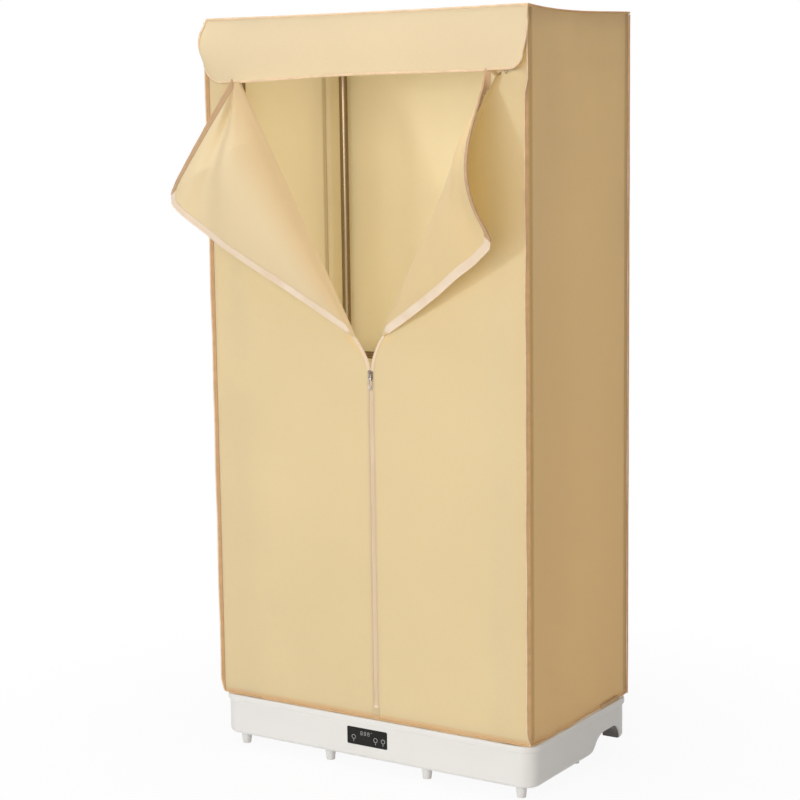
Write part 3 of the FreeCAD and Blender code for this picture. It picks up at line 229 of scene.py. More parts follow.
class Nodes:
    """A node tree, filled node by node."""

    def __init__(self, tree):
        self.tree = tree

    def put(self, socket, value):
        if isinstance(value, Wire):
            self.tree.links.new(value.socket, socket)
        else:
            socket.default_value = value

    def node(self, kind, settings=None, sockets=None, out=0):
        node = self.tree.nodes.new(kind)
        for key, value in (settings or {}).items():
            setattr(node, key, value)
        for key, value in (sockets or {}).items():
            self.put(node.inputs[key], value)
        return Wire(self, node.outputs[out])

    def math(self, operation, *values):
        return self.node("ShaderNodeMath", {"operation": operation}, dict(enumerate(values)))

    def shown(self):
        """1 where the eye sees the background, straight or in metal or glass."""
        rays = self.node("ShaderNodeLightPath").socket.node.outputs
        straight, gloss, glass = (Wire(self, rays[name])
                                  for name in ("Is Camera Ray", "Is Glossy Ray", "Is Transmission Ray"))
        return self.math("MAXIMUM", self.math("MAXIMUM", straight, gloss), glass)

    def close(self, end, share, one, two):
        """Sends a mix of two shaders to the tree's output."""
        both = self.node("ShaderNodeMixShader", None, {0: share, 1: Wire(self, one.outputs[0]), 2: two})
        self.put(self.tree.nodes[end].inputs["Surface"], both)


class Finish(Nodes):
    """A material on the Principled shader."""

    def __init__(self, name, **constants):
        self.material = bpy.data.materials.new(name)
        self.material.use_nodes = True
        super().__init__(self.material.node_tree)
        self.shader = self.tree.nodes["Principled BSDF"]
        self.set(**constants)

    def set(self, **values):
        for key, value in values.items():
            name = key.replace("_", " ").title().replace("Ior", "IOR")
            self.put(self.shader.inputs[name], (*value, 1) if isinstance(value, tuple) else value)

    def place(self):
        return self.node("ShaderNodeTexCoord", out=3)

    def parts(self, vector, count):
        return [self.node("ShaderNodeSeparateXYZ", None, {0: vector}, i) for i in range(count)]

    def cut(self):
        """Place on the flat cut of the cloth, as two values and the vector."""
        flat = self.node("ShaderNodeUVMap", {"uv_map": "cut"})
        return self.parts(flat, 2) + [flat]

    def noise(self, vector, scale, detail=3, rough=0.5):
        return self.node("ShaderNodeTexNoise", None,
                         {"Vector": vector, "Scale": scale, "Detail": detail, "Roughness": rough})

    def stretched(self, vector, scale):
        return self.node("ShaderNodeMapping", None, {"Vector": vector, "Scale": scale})

    def remap(self, value, low, high, to_low=0.0, to_high=1.0):
        return self.node("ShaderNodeMapRange", {"clamp": True},
                         {0: value, 1: low, 2: high, 3: to_low, 4: to_high})

    def mix(self, share, one, two):
        one, two = ((*c, 1) if isinstance(c, tuple) else c for c in (one, two))
        return self.node("ShaderNodeMix", {"data_type": "RGBA"}, {0: share, 6: one, 7: two}, 2)

    def bump(self, height, strength, distance):
        self.set(normal=self.node("ShaderNodeBump", None,
                                  {"Strength": strength, "Distance": distance, "Height": height}))

    def through(self, share, color):
        """Lets light through, as thin cloth does."""
        veil = self.node("ShaderNodeBsdfTranslucent", None, {"Color": (*color, 1)})
        self.close("Material Output", share, self.shader, veil)


def shade(color, factor):
    """A colour times one number, or times three."""
    return tuple(float(c) for c in np.multiply(color, factor))


def cloth_finish(name, tone=CREAM, stitches=(), hemmed=False, seams=(), crease=None, turned=PALE, crease_shade=0.0):
    """Coated plain weave, with places measured on its flat cut.

    Each row of stitches is (axis, place), with painted shade along its sunken line. The lower hem is a
    doubled band. Beside the seams the cloth is darkened with painted shade, and it grows darker towards
    the bottom as painted shade. Over the crease (x, z, slope, side) the cloth shows its turned tone, paler
    partly as its inner side and partly as painted light, and close to the crease it is darker by a share
    of painted shade.
    """
    f = Finish(name, roughness=0.6, sheen_weight=0.18, sheen_roughness=0.45, specular_ior_level=0.32)
    across, up, flat = f.cut()
    thread_pitch, stitch_length = 2 * math.pi / 0.0016, 0.0042
    weave = f.math("SINE", across * thread_pitch) * f.math("SINE", up * thread_pitch)
    slub = f.noise(f.stretched(flat, (900, 60, 1)), 1.0, 2) + f.noise(f.stretched(flat, (60, 900, 1)), 1.0, 2)
    cloud = f.noise(f.place(), 3.2, 2)
    color = f.mix(f.remap(cloud, 0.3, 0.7), shade(tone, 0.965), shade(tone, 1.03))
    color = f.mix(f.remap(slub, 0.8, 1.25, 0.0, 0.35), color, shade(tone, 0.90))
    height = weave * 0.35 + slub * 0.5
    if seams:
        # Painted shade: the side covers grow darker and warmer towards the bottom.
        color = f.mix(f.remap(up, HEM, 1.2, 0.7, 0.0), color, shade(tone, (1.0, 0.91, 0.80)))
    for line in seams:
        # Painted shade: a darker band beside each seam.
        seam_shade = f.remap(f.math("ABSOLUTE", across - line), 0.013, 0.018, 0.9, 0.0)
        color = f.mix(seam_shade, color, shade(tone, (0.62, 0.55, 0.48)))
    if crease:
        x, z, slope, side = crease
        inside = (x + (up - z) * slope - across) * side
        # The turned face is paler, partly as the cloth's inner side and partly as painted light.
        color = f.mix(f.remap(inside, -0.004, 0.012, 0.0, 0.75), color, turned)
        # Painted shade: darker and oranger close to the crease, where the lapel rolls away.
        color = f.mix((inside > -0.0008) * f.remap(inside, 0.01, 0.075, crease_shade, 0.0), color, CREASE_SHADE_AMBER)
    if hemmed:
        band = up < HEM + HEM_BAND
        color = f.mix(band * 0.55, color, AMBER)
        height = height + band * 1.5
    for axis, line in stitches:
        over, run = (across, up) if axis == "up" else (up, across)
        row = f.math("COMPARE", over, line, 0.0006)
        thread = row * (f.math("FRACT", run * (1 / stitch_length)) > 0.28)
        # Painted shade along the sunken stitch line; the thread itself is paler.
        color = f.mix(row * 0.16, color, shade(tone, 0.55))
        color = f.mix(thread * 0.7, color, shade(tone, 1.08))
        height = height - row + thread * 2.2
    f.set(base_color=color, roughness=f.remap(slub, 0.7, 1.3, 0.54, 0.68))
    f.bump(height, 0.35, 0.0003)
    f.through(0.40, GLOW)
    return f.material


def binding_finish(name, tone):
    """Folded binding over a cord: a slanting weave and soft puckers."""
    f = Finish(name, sheen_weight=0.15, sheen_roughness=0.4, specular_ior_level=0.3)
    place = f.place()
    thread = f.node("ShaderNodeTexWave", {"bands_direction": "DIAGONAL"},
                    {"Vector": place, "Scale": 260.0, "Distortion": 1.2, "Detail": 1.0})
    pucker = f.noise(place, 55, 2)
    color = f.mix(f.remap(pucker, 0.3, 0.7), shade(tone, 0.90), shade(tone, 1.08))
    f.set(base_color=f.mix(thread * 0.25, color, shade(tone, 0.8)),
          roughness=f.remap(pucker, 0.3, 0.7, 0.55, 0.7))
    f.bump(thread * 0.3 + pucker, 0.5, 0.0008)
    f.through(0.12, shade(tone, 1.1))
    return f.material


def tape_finish(name, tone):
    """Woven zip tape with a herringbone rib."""
    f = Finish(name, sheen_weight=0.2, sheen_roughness=0.5, specular_ior_level=0.3)
    across, up, flat = f.cut()
    rib_pitch, herringbone = 0.0013, 0.0022
    lean = f.math("PINGPONG", across, herringbone) * 1.6
    rib = f.math("SINE", (up + lean) * (2 * math.pi / rib_pitch))
    fuzz = f.noise(flat, 700, 2)
    worn = f.noise(f.place(), 16, 2)
    color = f.mix(f.remap(worn, 0.35, 0.65), shade(tone, 1.03), shade(tone, (0.92, 0.85, 0.76)))
    color = f.mix(f.remap(rib, -1, 1, 0.0, 0.5), color, shade(tone, 0.86))
    f.set(base_color=f.mix(f.remap(fuzz, 0.35, 0.7, 0.0, 0.3), color, shade(tone, 1.07)),
          roughness=f.remap(fuzz, 0.3, 0.7, 0.6, 0.75))
    f.bump(rib * 0.6 + fuzz, 0.4, 0.0003)
    f.through(0.1, tone)
    return f.material


def moulded(name, tone, rough, grain=900.0, depth=0.00012, coat_weight=0.0, recesses=False):
    """Injection-moulded plastic: fine grain, flow marks, a little dust and, if asked, painted shade in
    recesses.
    """
    f = Finish(name, specular_ior_level=0.5, coat_weight=coat_weight, coat_roughness=0.12)
    place = f.place()
    skin = f.noise(place, grain, 2)
    flow = f.noise(f.stretched(place, (2.0, 2.0, 7.0)), 2.2, 3)
    color = f.mix(f.remap(flow, 0.0, 1.0), shade(tone, 0.97), shade(tone, 1.03))
    if recesses:
        # Painted shade inside the tub's hand recesses.
        x, y, z = f.parts(place, 3)
        recess_shade_mask = z < RECESS_TOP
        for value, (low, high) in ((f.math("ABSOLUTE", x), RECESS_X), (y, RECESS_Y)):
            recess_shade_mask = recess_shade_mask * (value > low) * (value < high)
        color = f.mix(recess_shade_mask, color, RECESS_SHADE)
    f.set(base_color=f.mix(f.remap(skin, 0.4, 0.9, 0.0, 0.2), color, shade(tone, 0.93)),
          roughness=f.remap(flow, 0.0, 1.0, *rough))
    f.bump(skin, 0.2, depth)
    return f.material


def sheet_metal(name, tone, rough=(0.25, 0.42), lines=(3.0, 240.0, 240.0), spangle=0.0):
    """Drawn, brushed or galvanised metal."""
    f = Finish(name, metallic=1.0)
    place = f.place()
    brush = f.noise(f.stretched(place, lines), 3.0, 4, 0.6)
    color = f.mix(f.remap(brush, 0.3, 0.7), shade(tone, 0.88), shade(tone, 1.06))
    if spangle:
        crystal = f.node("ShaderNodeTexVoronoi", None, {"Vector": place, "Scale": 130.0}, 1)
        facet = f.node("ShaderNodeSeparateColor", None, {0: crystal})
        color = f.mix(facet * spangle, color, shade(tone, 0.72))
    f.set(base_color=color, roughness=f.remap(brush, 0.3, 0.7, *rough))
    f.bump(brush, 0.15, 0.0001)
    return f.material


def dusted(name, gloss, speck, tones, spans, rough, bump=None):
    """Plain skin under haze or dust: the speck's span for the colour and for the roughness, then its bump."""
    f = Finish(name, specular_ior_level=gloss)
    dust = f.noise(f.place(), *speck)
    f.set(base_color=f.mix(f.remap(dust, *spans[0]), *tones), roughness=f.remap(dust, *spans[1], *rough))
    if bump:
        grain, strength, distance = bump
        f.bump(f.noise(f.place(), *grain), strength, distance)
    return f.material


def circuit_green(name):
    f = Finish(name, specular_ior_level=0.5, coat_weight=0.3, coat_roughness=0.15)
    tracks = f.node("ShaderNodeTexBrick", {"offset": 0.35},
                    {"Vector": f.place(), "Scale": 190.0, "Mortar Size": 0.09})
    mask = f.node("ShaderNodeSeparateColor", None, {0: tracks})
    cloud = f.noise(f.place(), 60, 2)
    f.set(base_color=f.mix(f.remap(cloud, 0.3, 0.7), (0.02, 0.14, 0.06), (0.035, 0.20, 0.085)),
          roughness=f.remap(mask, 0.2, 0.8, 0.3, 0.45))
    f.bump(mask, 0.2, 0.0001)
    return f.material


def dress_cad():
    """Finishes for the CAD nodes that stay. Cloth and piping are replaced, so they get none."""
    gloss = dict(tone=TUB_WHITE, rough=(0.26, 0.34), grain=700.0, depth=0.00005, coat_weight=0.15)
    dark = moulded("dark_part_moulding", (0.045, 0.043, 0.042), (0.4, 0.55))
    looks = {
        "base_white": moulded("white_gloss_moulding", **gloss),
        "deck_white": moulded("white_satin_moulding", (0.74, 0.74, 0.73), (0.42, 0.55)),
        "joint_white": moulded("white_joint_moulding", (0.70, 0.69, 0.66), (0.38, 0.5)),
        "grille_grey": moulded("grey_grille_moulding", (0.30, 0.30, 0.31), (0.45, 0.58)),
        "fan_black": moulded("black_fan_moulding", (0.03, 0.03, 0.035), (0.35, 0.5)),
        "cutout_black": dark, "relay_black": dark, "display_dark": dark,
        # The steel is tinted dark brown as painted shade and painted reflection of the cream cloth.
        "tube_steel": sheet_metal("polished_tube_steel", (0.29, 0.22, 0.14), (0.16, 0.26), (90.0, 90.0, 2.0)),
        "panel_black": dusted("panel_window_black", 0.22, (38, 4, 0.6),
                              ((0.007, 0.007, 0.0065), (0.013, 0.013, 0.012)), ((0.3, 0.75), (0.35, 0.75)),
                              (0.12, 0.26), ((260, 1), 0.05, 0.0001)),
        "board_green": circuit_green("board_solder_mask"),
        "gland_black": dusted("gland_rubber", 0.35, (140, 3), ((0.022, 0.022, 0.022), (0.05, 0.049, 0.047)),
                              ((0.4, 0.75), (0.3, 0.7)), (0.62, 0.8), ((140, 3), 0.2, 0.0002)),
        "screw_steel": sheet_metal("zinc_screw_steel", (0.62, 0.62, 0.64)),
        "motor_steel": sheet_metal("drawn_motor_steel", (0.50, 0.50, 0.52)),
        "duct_steel": sheet_metal("galvanised_duct", (0.60, 0.61, 0.62), (0.3, 0.5), (12, 12, 12), 0.5),
        "heater_alloy": sheet_metal("bare_fin_alloy", (0.72, 0.73, 0.74), (0.28, 0.4)),
        "zip_metal": sheet_metal("nickel_plate", (0.50, 0.46, 0.42), (0.24, 0.38), (60, 60, 60)),
        "zip_teeth": moulded("zip_nylon", (0.92, 0.76, 0.60), (0.35, 0.5)),
        "cover_cloth": None, "piping_cord": None,
    }
    tub = moulded("white_tub_moulding", **gloss, recesses=True)
    for part in frame["record"]["subparts"]:
        finish = tub if part["node"] == "base_shell" else looks[part["material_slot"]]
        if finish:
            coat(nodes[part["node"]], finish)
    return looks


# Cloth.

def smooth(value):
    value = np.clip(value, 0, 1)
    return value * value * (3 - 2 * value)


def hump(value, width):
    return math.exp(-(value / width) ** 2)


def ripple(u, v, reach, seed):
    """Slow even waves, the same in every run."""
    k = 2 * math.pi / reach
    return (0.5 * math.sin(k * u + seed) + 0.3 * math.sin(k * (0.62 * u + 0.37 * v) + 2.3 * seed)
            + 0.2 * math.sin(k * (0.55 * v - 0.41 * u) + 4.1 * seed))


def spread(low, high, count, crowd=0.0):
    """Even places, or crowded towards both ends."""
    t = np.linspace(0, 1, count)
    t = (1 - crowd) * t + crowd * smooth(t)
    return [float(low + (high - low) * x) for x in t]


def shares(low, high, count):
    return [float(s) for s in np.linspace(low, high, count)]


def seam_fade(value, low, high, reach=0.05):
    return float(smooth(min(value - low, high - value) / reach))


def solid_sheet(name, rows, cuts, finish, thickness=CLOTH, flip=False):
    """One sheet of cloth from rows of points. The rest of a longer row closes on the end of its neighbour."""
    points, flat, faces, starts = [], [], [], []
    for row, cut in zip(rows, cuts):
        starts.append(len(points))
        points.extend(tuple(float(c) for c in p) for p in row)
        flat.extend(cut)
    for i in range(len(rows) - 1):
        low, high = len(rows[i]), len(rows[i + 1])
        a, b = starts[i], starts[i + 1]
        both = min(low, high)
        for j in range(both - 1):
            faces.append((a + j, a + j + 1, b + j + 1, b + j))
        for j in range(both - 1, low - 1):
            faces.append((a + j, a + j + 1, b + both - 1))
        for j in range(both - 1, high - 1):
            faces.append((a + both - 1, b + j + 1, b + j))
    if flip:
        faces = [tuple(reversed(face)) for face in faces]
    mesh = bpy.data.meshes.new(name)
    mesh.from_pydata(points, [], faces)
    layer = mesh.uv_layers.new(name="cut")
    for loop in mesh.loops:
        layer.data[loop.index].uv = flat[loop.vertex_index]
    mesh.materials.append(finish)
    sheet = linked(name, mesh)
    finish_mesh(sheet, thickness)
    return sheet


def plain_sheet(name, us, vs, place, finish, flip=False):
    rows = [[place(u, v) for u in us] for v in vs]
    cuts = [[(u, v) for u in us] for v in vs]
    return solid_sheet(name, rows, cuts, finish, flip=flip)


def tube(name, path, radius, finish):
    """Round trim along a line of points."""
    data = bpy.data.curves.new(name, "CURVE")
    data.dimensions = "3D"
    data.bevel_depth = radius
    data.bevel_resolution = 2
    data.use_fill_caps = True
    spline = data.splines.new("POLY")
    spline.points.add(len(path) - 1)
    for point, place in zip(spline.points, path):
        point.co = (*place, 1)
    focus(linked(name, data))
    bpy.ops.object.convert(target="MESH")
    piece = active()
    coat(piece, finish)
    finish_mesh(piece)
    return piece


def edge_rows(half):
    """Stitches beside the two upright edges of a sheet."""
    return [("up", -half + EDGE_ROW), ("up", half - EDGE_ROW)]


def top_sag(y):
    """How far the upper edge of the right side hangs between its corners."""
    t = min(max((y + HALF_Y) / (2 * HALF_Y), 0), 1)
    return 0.0065 * abs(math.sin(math.pi * t ** 0.72)) ** 1.2


def side_cover(side):
    left = side == "left"
    # The right side cover takes a warmer cream as painted shade.
    sign, seed, tone = (-1, 1.3, CREAM) if left else (1, 2.9, RIGHT_SIDE_SHADE_CREAM)
    x = sign * (HALF_X - CLOTH / 2)

    def place(y, z):
        """Slack, tugged at the ends; the left is puffed out, the right is hollow beside the front seam."""
        fade = seam_fade(y, -HALF_Y, HALF_Y, 0.06)
        slack = 0.0022 * ripple(y, z, 0.34, seed) * fade
        ends = smooth((z - 1.2) / 0.3) + smooth((0.4 - z) / 0.3)
        tug = 0.0016 * ripple(y, z, 0.11, seed + 1) * fade * ends
        lift = 0.0022 * ripple(y, 0.2, 0.13, seed + 2) * smooth((HEM + 0.05 - z) / 0.05)
        if left:
            drop = 0
            puff = 0.006 * (1 - math.exp(-(y + HALF_Y) / 0.012)) * smooth((HALF_Y - y) / 0.2)
        else:
            drop = top_sag(y) * smooth((z - 1.30) / 0.25)
            puff = -0.0040 * hump(y + HALF_Y - 0.005, 0.0045)
        return (x + sign * (slack + tug + puff + abs(lift) * fade), y, z - drop)

    finish = cloth_finish(f"cover_{side}_weave", tone, edge_rows(HALF_Y) + LOW_ROW, True,
                          seams=(-HALF_Y, HALF_Y))
    piece = plain_sheet(f"cover_{side}_cloth", spread(-HALF_Y, HALF_Y, 46, 0.5),
                        spread(HEM, TOP - CLOTH, 110), place, finish, flip=left)
    dress(piece, f"cover_{side}")


def back_cover():
    y = HALF_Y - CLOTH / 2

    def place(x, z):
        """Hanging folds above the middle, and one crease down from the right upper corner."""
        fade = seam_fade(x, -HALF_X, HALF_X, 0.09)
        hang = smooth((z - 0.3) / 0.5)
        folds = 0.0042 * ripple(x, 0.25 * z, 0.23, 0.7) + 0.0022 * ripple(x, 0.15 * z, 0.09, 1.9)
        corner = 0.006 * hump(x - 0.27 + 0.03 * (z - 1.2), 0.022) * smooth((z - 0.9) / 0.3)
        return (x, y + (folds * hang - corner) * fade, z)

    finish = cloth_finish("cover_back_weave", CREAM, edge_rows(HALF_X) + LOW_ROW, True)
    piece = plain_sheet("cover_back_cloth", spread(-HALF_X, HALF_X, 120), spread(HEM, TOP - CLOTH, 90),
                        place, finish, flip=True)
    dress(piece, "cover_back")


def roof():
    z, clear_x = TOP - CLOTH / 2, 0.295

    def place(x, y):
        """Slight sag, clear of the joints at its ends; the right edge follows the side's upper edge."""
        fade = seam_fade(x, -clear_x, clear_x, 0.12) * seam_fade(y, -HALF_Y, HALF_Y, 0.12)
        sag = (0.0033 + 0.0008 * ripple(x, y, 0.3, 3.3)) * fade
        edge = top_sag(y) * smooth((x - 0.33) / 0.05)
        return (x, y, z - sag - edge)

    finish = cloth_finish("cover_top_weave", CREAM, edge_rows(HALF_X))
    piece = plain_sheet("cover_top_cloth", spread(-HALF_X, HALF_X, 70, 0.4), spread(-HALF_Y, HALF_Y, 44, 0.4),
                        place, finish)
    dress(piece, "cover_top")


def header():
    """Strip behind the valance, a little behind the front panels that it overlaps."""
    overlap, behind = 0.006, 0.0018
    low = PANEL_TOP - overlap

    def place(x, z):
        fade = seam_fade(x, -HALF_X, HALF_X)
        return (x, FRONT + behind + 0.0006 * ripple(x, z, 0.2, 0.4) * fade, z)

    finish = cloth_finish("header_weave", CREAM, [("across", low + overlap)])
    piece = plain_sheet("front_header_cloth", spread(-HALF_X, HALF_X, 60), spread(low, TOP - CLOTH, 12),
                        place, finish)
    dress(piece, "front_header")


def valance_cloth():
    """Flap hung from the front seam: flared at its ends, with rounded lower corners."""
    half = HALF_X - CLOTH
    seam_y, seam_z, low_z = -(HALF_Y + SEAM_OFF), TOP + SEAM_OFF - 0.0023, 1.4325

    def lower(x):
        rise = 0.005 * float(smooth((x + 0.28) / 0.36)) - 0.004 * float(smooth((-0.1 - x) / 0.2))
        low = low_z + rise + 0.002 * float(smooth((x - 0.27) / 0.06))
        end = half - abs(x)
        corner = 0.042 if x < 0 else 0.030
        if end < corner:
            low += corner - math.sqrt(max(corner ** 2 - (corner - end) ** 2, 0))
        return low

    def height(x, v):
        return seam_z + (lower(x) - seam_z) * v

    def place(x, v):
        z = height(x, v)
        left, right = hump(x + half, 0.07), hump(x - half, 0.06)
        belly = math.sin(math.pi * v)
        out = 0.008 * v ** 1.2 + 0.003 * belly
        out += 0.012 * left * math.sin(math.pi * min(v * 0.95, 1)) + 0.007 * right * v ** 2.2
        out += 0.0014 * ripple(x, z, 0.3, 0.9) * v
        side = -left * (0.003 + 0.006 * belly * smooth(3 * v)) + right * (0.005 * belly - 0.002 * v)
        return (x + side, seam_y - out, z)

    xs, vs = spread(-half, half, 110, 0.92), spread(0, 1, 26)
    # The valance takes a paler cream as painted light.
    finish = cloth_finish("valance_weave", VALANCE_LIT_CREAM, [("across", low_z + HEM_ROW)])
    rows = [[place(x, v) for x in xs] for v in reversed(vs)]
    cuts = [[(x, height(x, v)) for x in xs] for v in reversed(vs)]
    piece = solid_sheet("valance_cloth", rows, cuts, finish)
    edge = [place(xs[0], v) for v in vs]
    edge += [place(x, 1) for x in xs[1:]] + [place(xs[-1], v) for v in reversed(vs[:-1])]
    binding = tube("valance_binding", edge, BINDING, lit_trim)
    dress(binding, body="valance", slot="piping_cord")
    dress(piece, "valance", body="valance")


# Front panels, lapels and zip.

def swell(part, rise, fall):
    """Hump between 0 and 1, highest at rise / (rise + fall)."""
    top = rise / (rise + fall)
    return (part / top) ** rise * ((1 - part) / (1 - top)) ** fall


class Lapel:
    """Open upper corner of a front panel, laid over its crease.

    s runs from 0 at the foot of the crease to 1 at its head, past the cloth's corner at s = turn. t runs
    from the crease to the free edge. Soft folds run down from the head, each (height, angle, width), with
    angle and width in degrees.
    """

    def __init__(self, side, edge_x, foot, head_x, turn, corner, high, bulge, sag, lean, bow, curve, folds,
                 turned, crease_shade):
        self.side, self.sign = side, -1 if side == "left" else 1
        self.turn, self.bulge, self.sag, self.lean, self.bow = turn, bulge, sag, lean, bow
        self.curve, self.folds, self.turned, self.crease_shade = curve, folds, turned, crease_shade
        self.edge_x, self.head_x, self.foot_z = edge_x, head_x, foot[1]
        self.foot = np.array([foot[0], FRONT, foot[1]])
        self.head = np.array([head_x, FRONT, CREASE_TOP])
        self.rise = self.head - self.foot
        self.beside = np.cross(self.rise / np.linalg.norm(self.rise), OUT) * self.sign
        self.corner = np.array(corner)
        self.low, self.high = self.start(0), np.array(high)
        self.widest = np.linalg.norm(self.corner - self.crease(turn, 0, 2 * self.roll(turn)))

    def roll(self, s):
        """Radius of the rolled crease."""
        return (0.003 + 0.006 * s) * min(1, (s + 0.004) / 0.05) ** 0.5

    def bound(self, z):
        """Edge beside the zip: straight up to the slider, then parting in a curve up to the fold."""
        meet = ZIP_X + self.sign * 0.0022
        if z < SLIDER_TOP:
            return self.edge_x + (meet - self.edge_x) * float(smooth((z - SLIDER_TOP + 0.02) / 0.02))
        part = min(1, (z - SLIDER_TOP) / (self.foot_z - SLIDER_TOP))
        return meet + (self.foot[0] - meet) * part ** self.curve

    def crease(self, s, beside, out):
        return self.foot + self.rise * s + self.beside * beside + OUT * out

    def start(self, s):
        """Where the lapel leaves its rolled crease."""
        return self.crease(s, CLOTH / 2, 2 * self.roll(s))

    def past_turn(self, s):
        return (s - self.turn) / (1 - self.turn)

    def sharp_edge(self, s):
        if s <= self.turn:
            part = s / self.turn
            sag = self.sag * swell(part, *self.lean)
            return self.low + (self.corner - self.low) * part + self.beside * sag
        part = self.past_turn(s)
        return self.corner + (self.high - self.corner) * part + OUT * (self.bow * swell(part, 1.15, 1.7))

    def edge(self, s):
        """Free edge, with its corner rounded off."""
        reach = min(0.03, s, 1 - s)
        return sum(self.sharp_edge(s + reach * k) for k in (-1, -0.5, 0, 0.5, 1)) / 5

    def flat_edge(self, s):
        if s <= self.turn:
            return np.array([self.edge_x, self.foot_z + (PANEL_TOP - self.foot_z) * s / self.turn])
        return np.array([self.edge_x + (self.head_x - self.edge_x) * self.past_turn(s), PANEL_TOP])

    def flat(self, s, t):
        """Place on the flat cut."""
        start = (self.foot + self.rise * s)[[0, 2]]
        return start + (self.flat_edge(s) - start) * t

    def point(self, s, t):
        start = self.start(s)
        chord = self.edge(s) - start
        across = np.cross(np.cross(chord, OUT), chord)
        across = across / max(np.linalg.norm(across), 1e-9)
        crown = self.bulge * (1 if s <= self.turn else 1 - self.past_turn(s))
        arch = 2.88 * t ** 0.6 * (1 - t)
        lift = crown * np.linalg.norm(chord) / self.widest * arch + self.drape(s, t)
        return start + chord * t + across * lift

    def drape(self, s, t):
        x, z = self.flat(s, t) - np.array([self.head_x, CREASE_TOP])
        reach = math.hypot(x, z)
        angle = math.degrees(math.atan2(x * -self.sign, -z))
        angle -= math.degrees(math.atan2(abs(self.head_x - self.foot[0]), CREASE_TOP - self.foot_z))
        fade = float(smooth(reach / 0.09) * smooth((0.46 - reach) / 0.25)) * min(1, 6 * t)
        return fade * sum(high * hump(angle - middle, width) for high, middle, width in self.folds)

    def strip_share(self, s, width):
        """Share of the section, from the free edge, that a strip of this width covers."""
        step = 0.01
        along = self.edge(min(s + step, 1)) - self.edge(max(s - step, 0))
        chord = self.edge(s) - self.start(s)
        lengths = np.linalg.norm(along) * np.linalg.norm(chord)
        lean = np.linalg.norm(np.cross(along, chord)) / max(lengths, 1e-9)
        return min(0.9, width / max(np.linalg.norm(chord) * max(lean, 0.4), 1e-6))

    def face(self, s, t, lift):
        """Point over the shown side of the lapel."""
        step = 0.004
        one = self.point(min(s + step, 1), t) - self.point(max(s - step, 0), t)
        two = self.point(s, min(t + step, 1)) - self.point(s, max(t - step, 0))
        normal = np.cross(one, two)
        normal = normal / max(np.linalg.norm(normal), 1e-12)
        if normal @ OUT < 0:
            normal = -normal
        return self.point(s, t) + normal * lift


# The turned tones are paler partly as painted light, and the last value is the share of painted shade by the
# crease.
LAPELS = {
    "left": Lapel("left", edge_x=ZIP_LEFT, foot=(-0.022, 0.910), head_x=-0.305, turn=0.77,
                  corner=(-0.441, FRONT - 0.072, 1.190), high=(-0.303, FRONT - 0.008, 1.446),
                  bulge=0.048, sag=0.018, lean=(2.2, 0.75), bow=0.004, curve=1.55,
                  folds=((-0.020, 43, 8), (0.006, 24, 9)), turned=(0.965, 0.87, 0.63), crease_shade=0.6),
    "right": Lapel("right", edge_x=ZIP_RIGHT, foot=(0.044, 0.915), head_x=0.322, turn=0.60,
                   corner=(0.352, FRONT - 0.083, 1.113), high=(0.293, FRONT - 0.006, 1.450),
                   bulge=0.034, sag=0.007, lean=(1, 1), bow=0.094, curve=1.95,
                   folds=((0.006, 30, 10), (-0.004, 45, 7)), turned=(0.93, 0.79, 0.49), crease_shade=0.2),
}


def front_cloth(lapel):
    """One front panel with its rolled crease and lapel in one sheet."""
    side, sign = lapel.side, lapel.sign
    outer = sign * HALF_X
    seed = 0.6 if side == "left" else 1.7
    steps = [float(u) for u in 1 - (1 - np.linspace(0, 1, 44)) ** 1.5]
    ts = shares(0, 1, 36)
    roll_angles = np.linspace(0, math.pi, 11)[1:-1]
    # The roll and the first points of the lapel are eased into one curve.
    eased, ease_rounds = 12, 3
    rows, cuts = [], []

    def panel(z, bound):
        """Row of points at this height, with shallow waves and a welt beside the closed zip."""
        row, cut = [], []
        for u in steps:
            x = outer + (bound - outer) * u
            fade = float(smooth(abs(x - outer) / 0.05) * smooth(abs(bound - x) / 0.06))
            wave = 0.0011 * ripple(x, z, 0.31, seed) * fade
            wave += 0.0009 * ripple(x, z, 0.12, 2.2) * fade * float(smooth((0.34 - z) / 0.2))
            welt = 0.0007 * hump(abs(bound - x) - 0.0045, 0.0025) if z < lapel.foot_z else 0
            row.append(np.array([x, FRONT - welt - wave, z]))
            cut.append((x if z > lapel.foot_z else outer + (lapel.edge_x - outer) * u, z))
        return row, cut

    def add(row, cut):
        rows.append(row)
        cuts.append(cut)

    for z in spread(HEM, SLIDER_TOP - 0.024, 76) + spread(SLIDER_TOP - 0.021, lapel.foot_z, 30):
        add(*panel(z, lapel.bound(z)))
    for s in np.unique(np.concatenate([np.linspace(0.012, 0.988, 72), [lapel.turn]])):
        s = float(s)
        x, z = lapel.flat(s, 0)
        row, cut = panel(z, x)
        r = lapel.roll(s)
        turned = [lapel.crease(s, -0.0003 - r * math.sin(a), r - r * math.cos(a)) for a in roll_angles]
        turned += [lapel.point(s, t) for t in ts]
        for _ in range(ease_rounds):
            turned[1:eased] = [(turned[k - 1] + 2 * turned[k] + turned[k + 1]) / 4 for k in range(1, eased)]
        add(row + turned, cut + [(x, z)] * len(roll_angles) + [tuple(lapel.flat(s, t)) for t in ts])
    for z in (CREASE_TOP, 1.4345, PANEL_TOP):
        add(*panel(z, lapel.head_x))
    rows_of_stitches = [("up", outer - sign * EDGE_ROW), ("up", lapel.edge_x + sign * 0.0085),
                        *LOW_ROW, ("across", PANEL_TOP - EDGE_ROW)]
    crease = (lapel.foot[0], lapel.foot_z, float(lapel.rise[0] / lapel.rise[2]), sign)
    finish = cloth_finish(f"front_{side}_weave", CREAM, rows_of_stitches, True, crease=crease,
                          turned=lapel.turned, crease_shade=lapel.crease_shade)
    return solid_sheet(f"front_{side}_cloth", rows, cuts, finish, flip=side == "right")


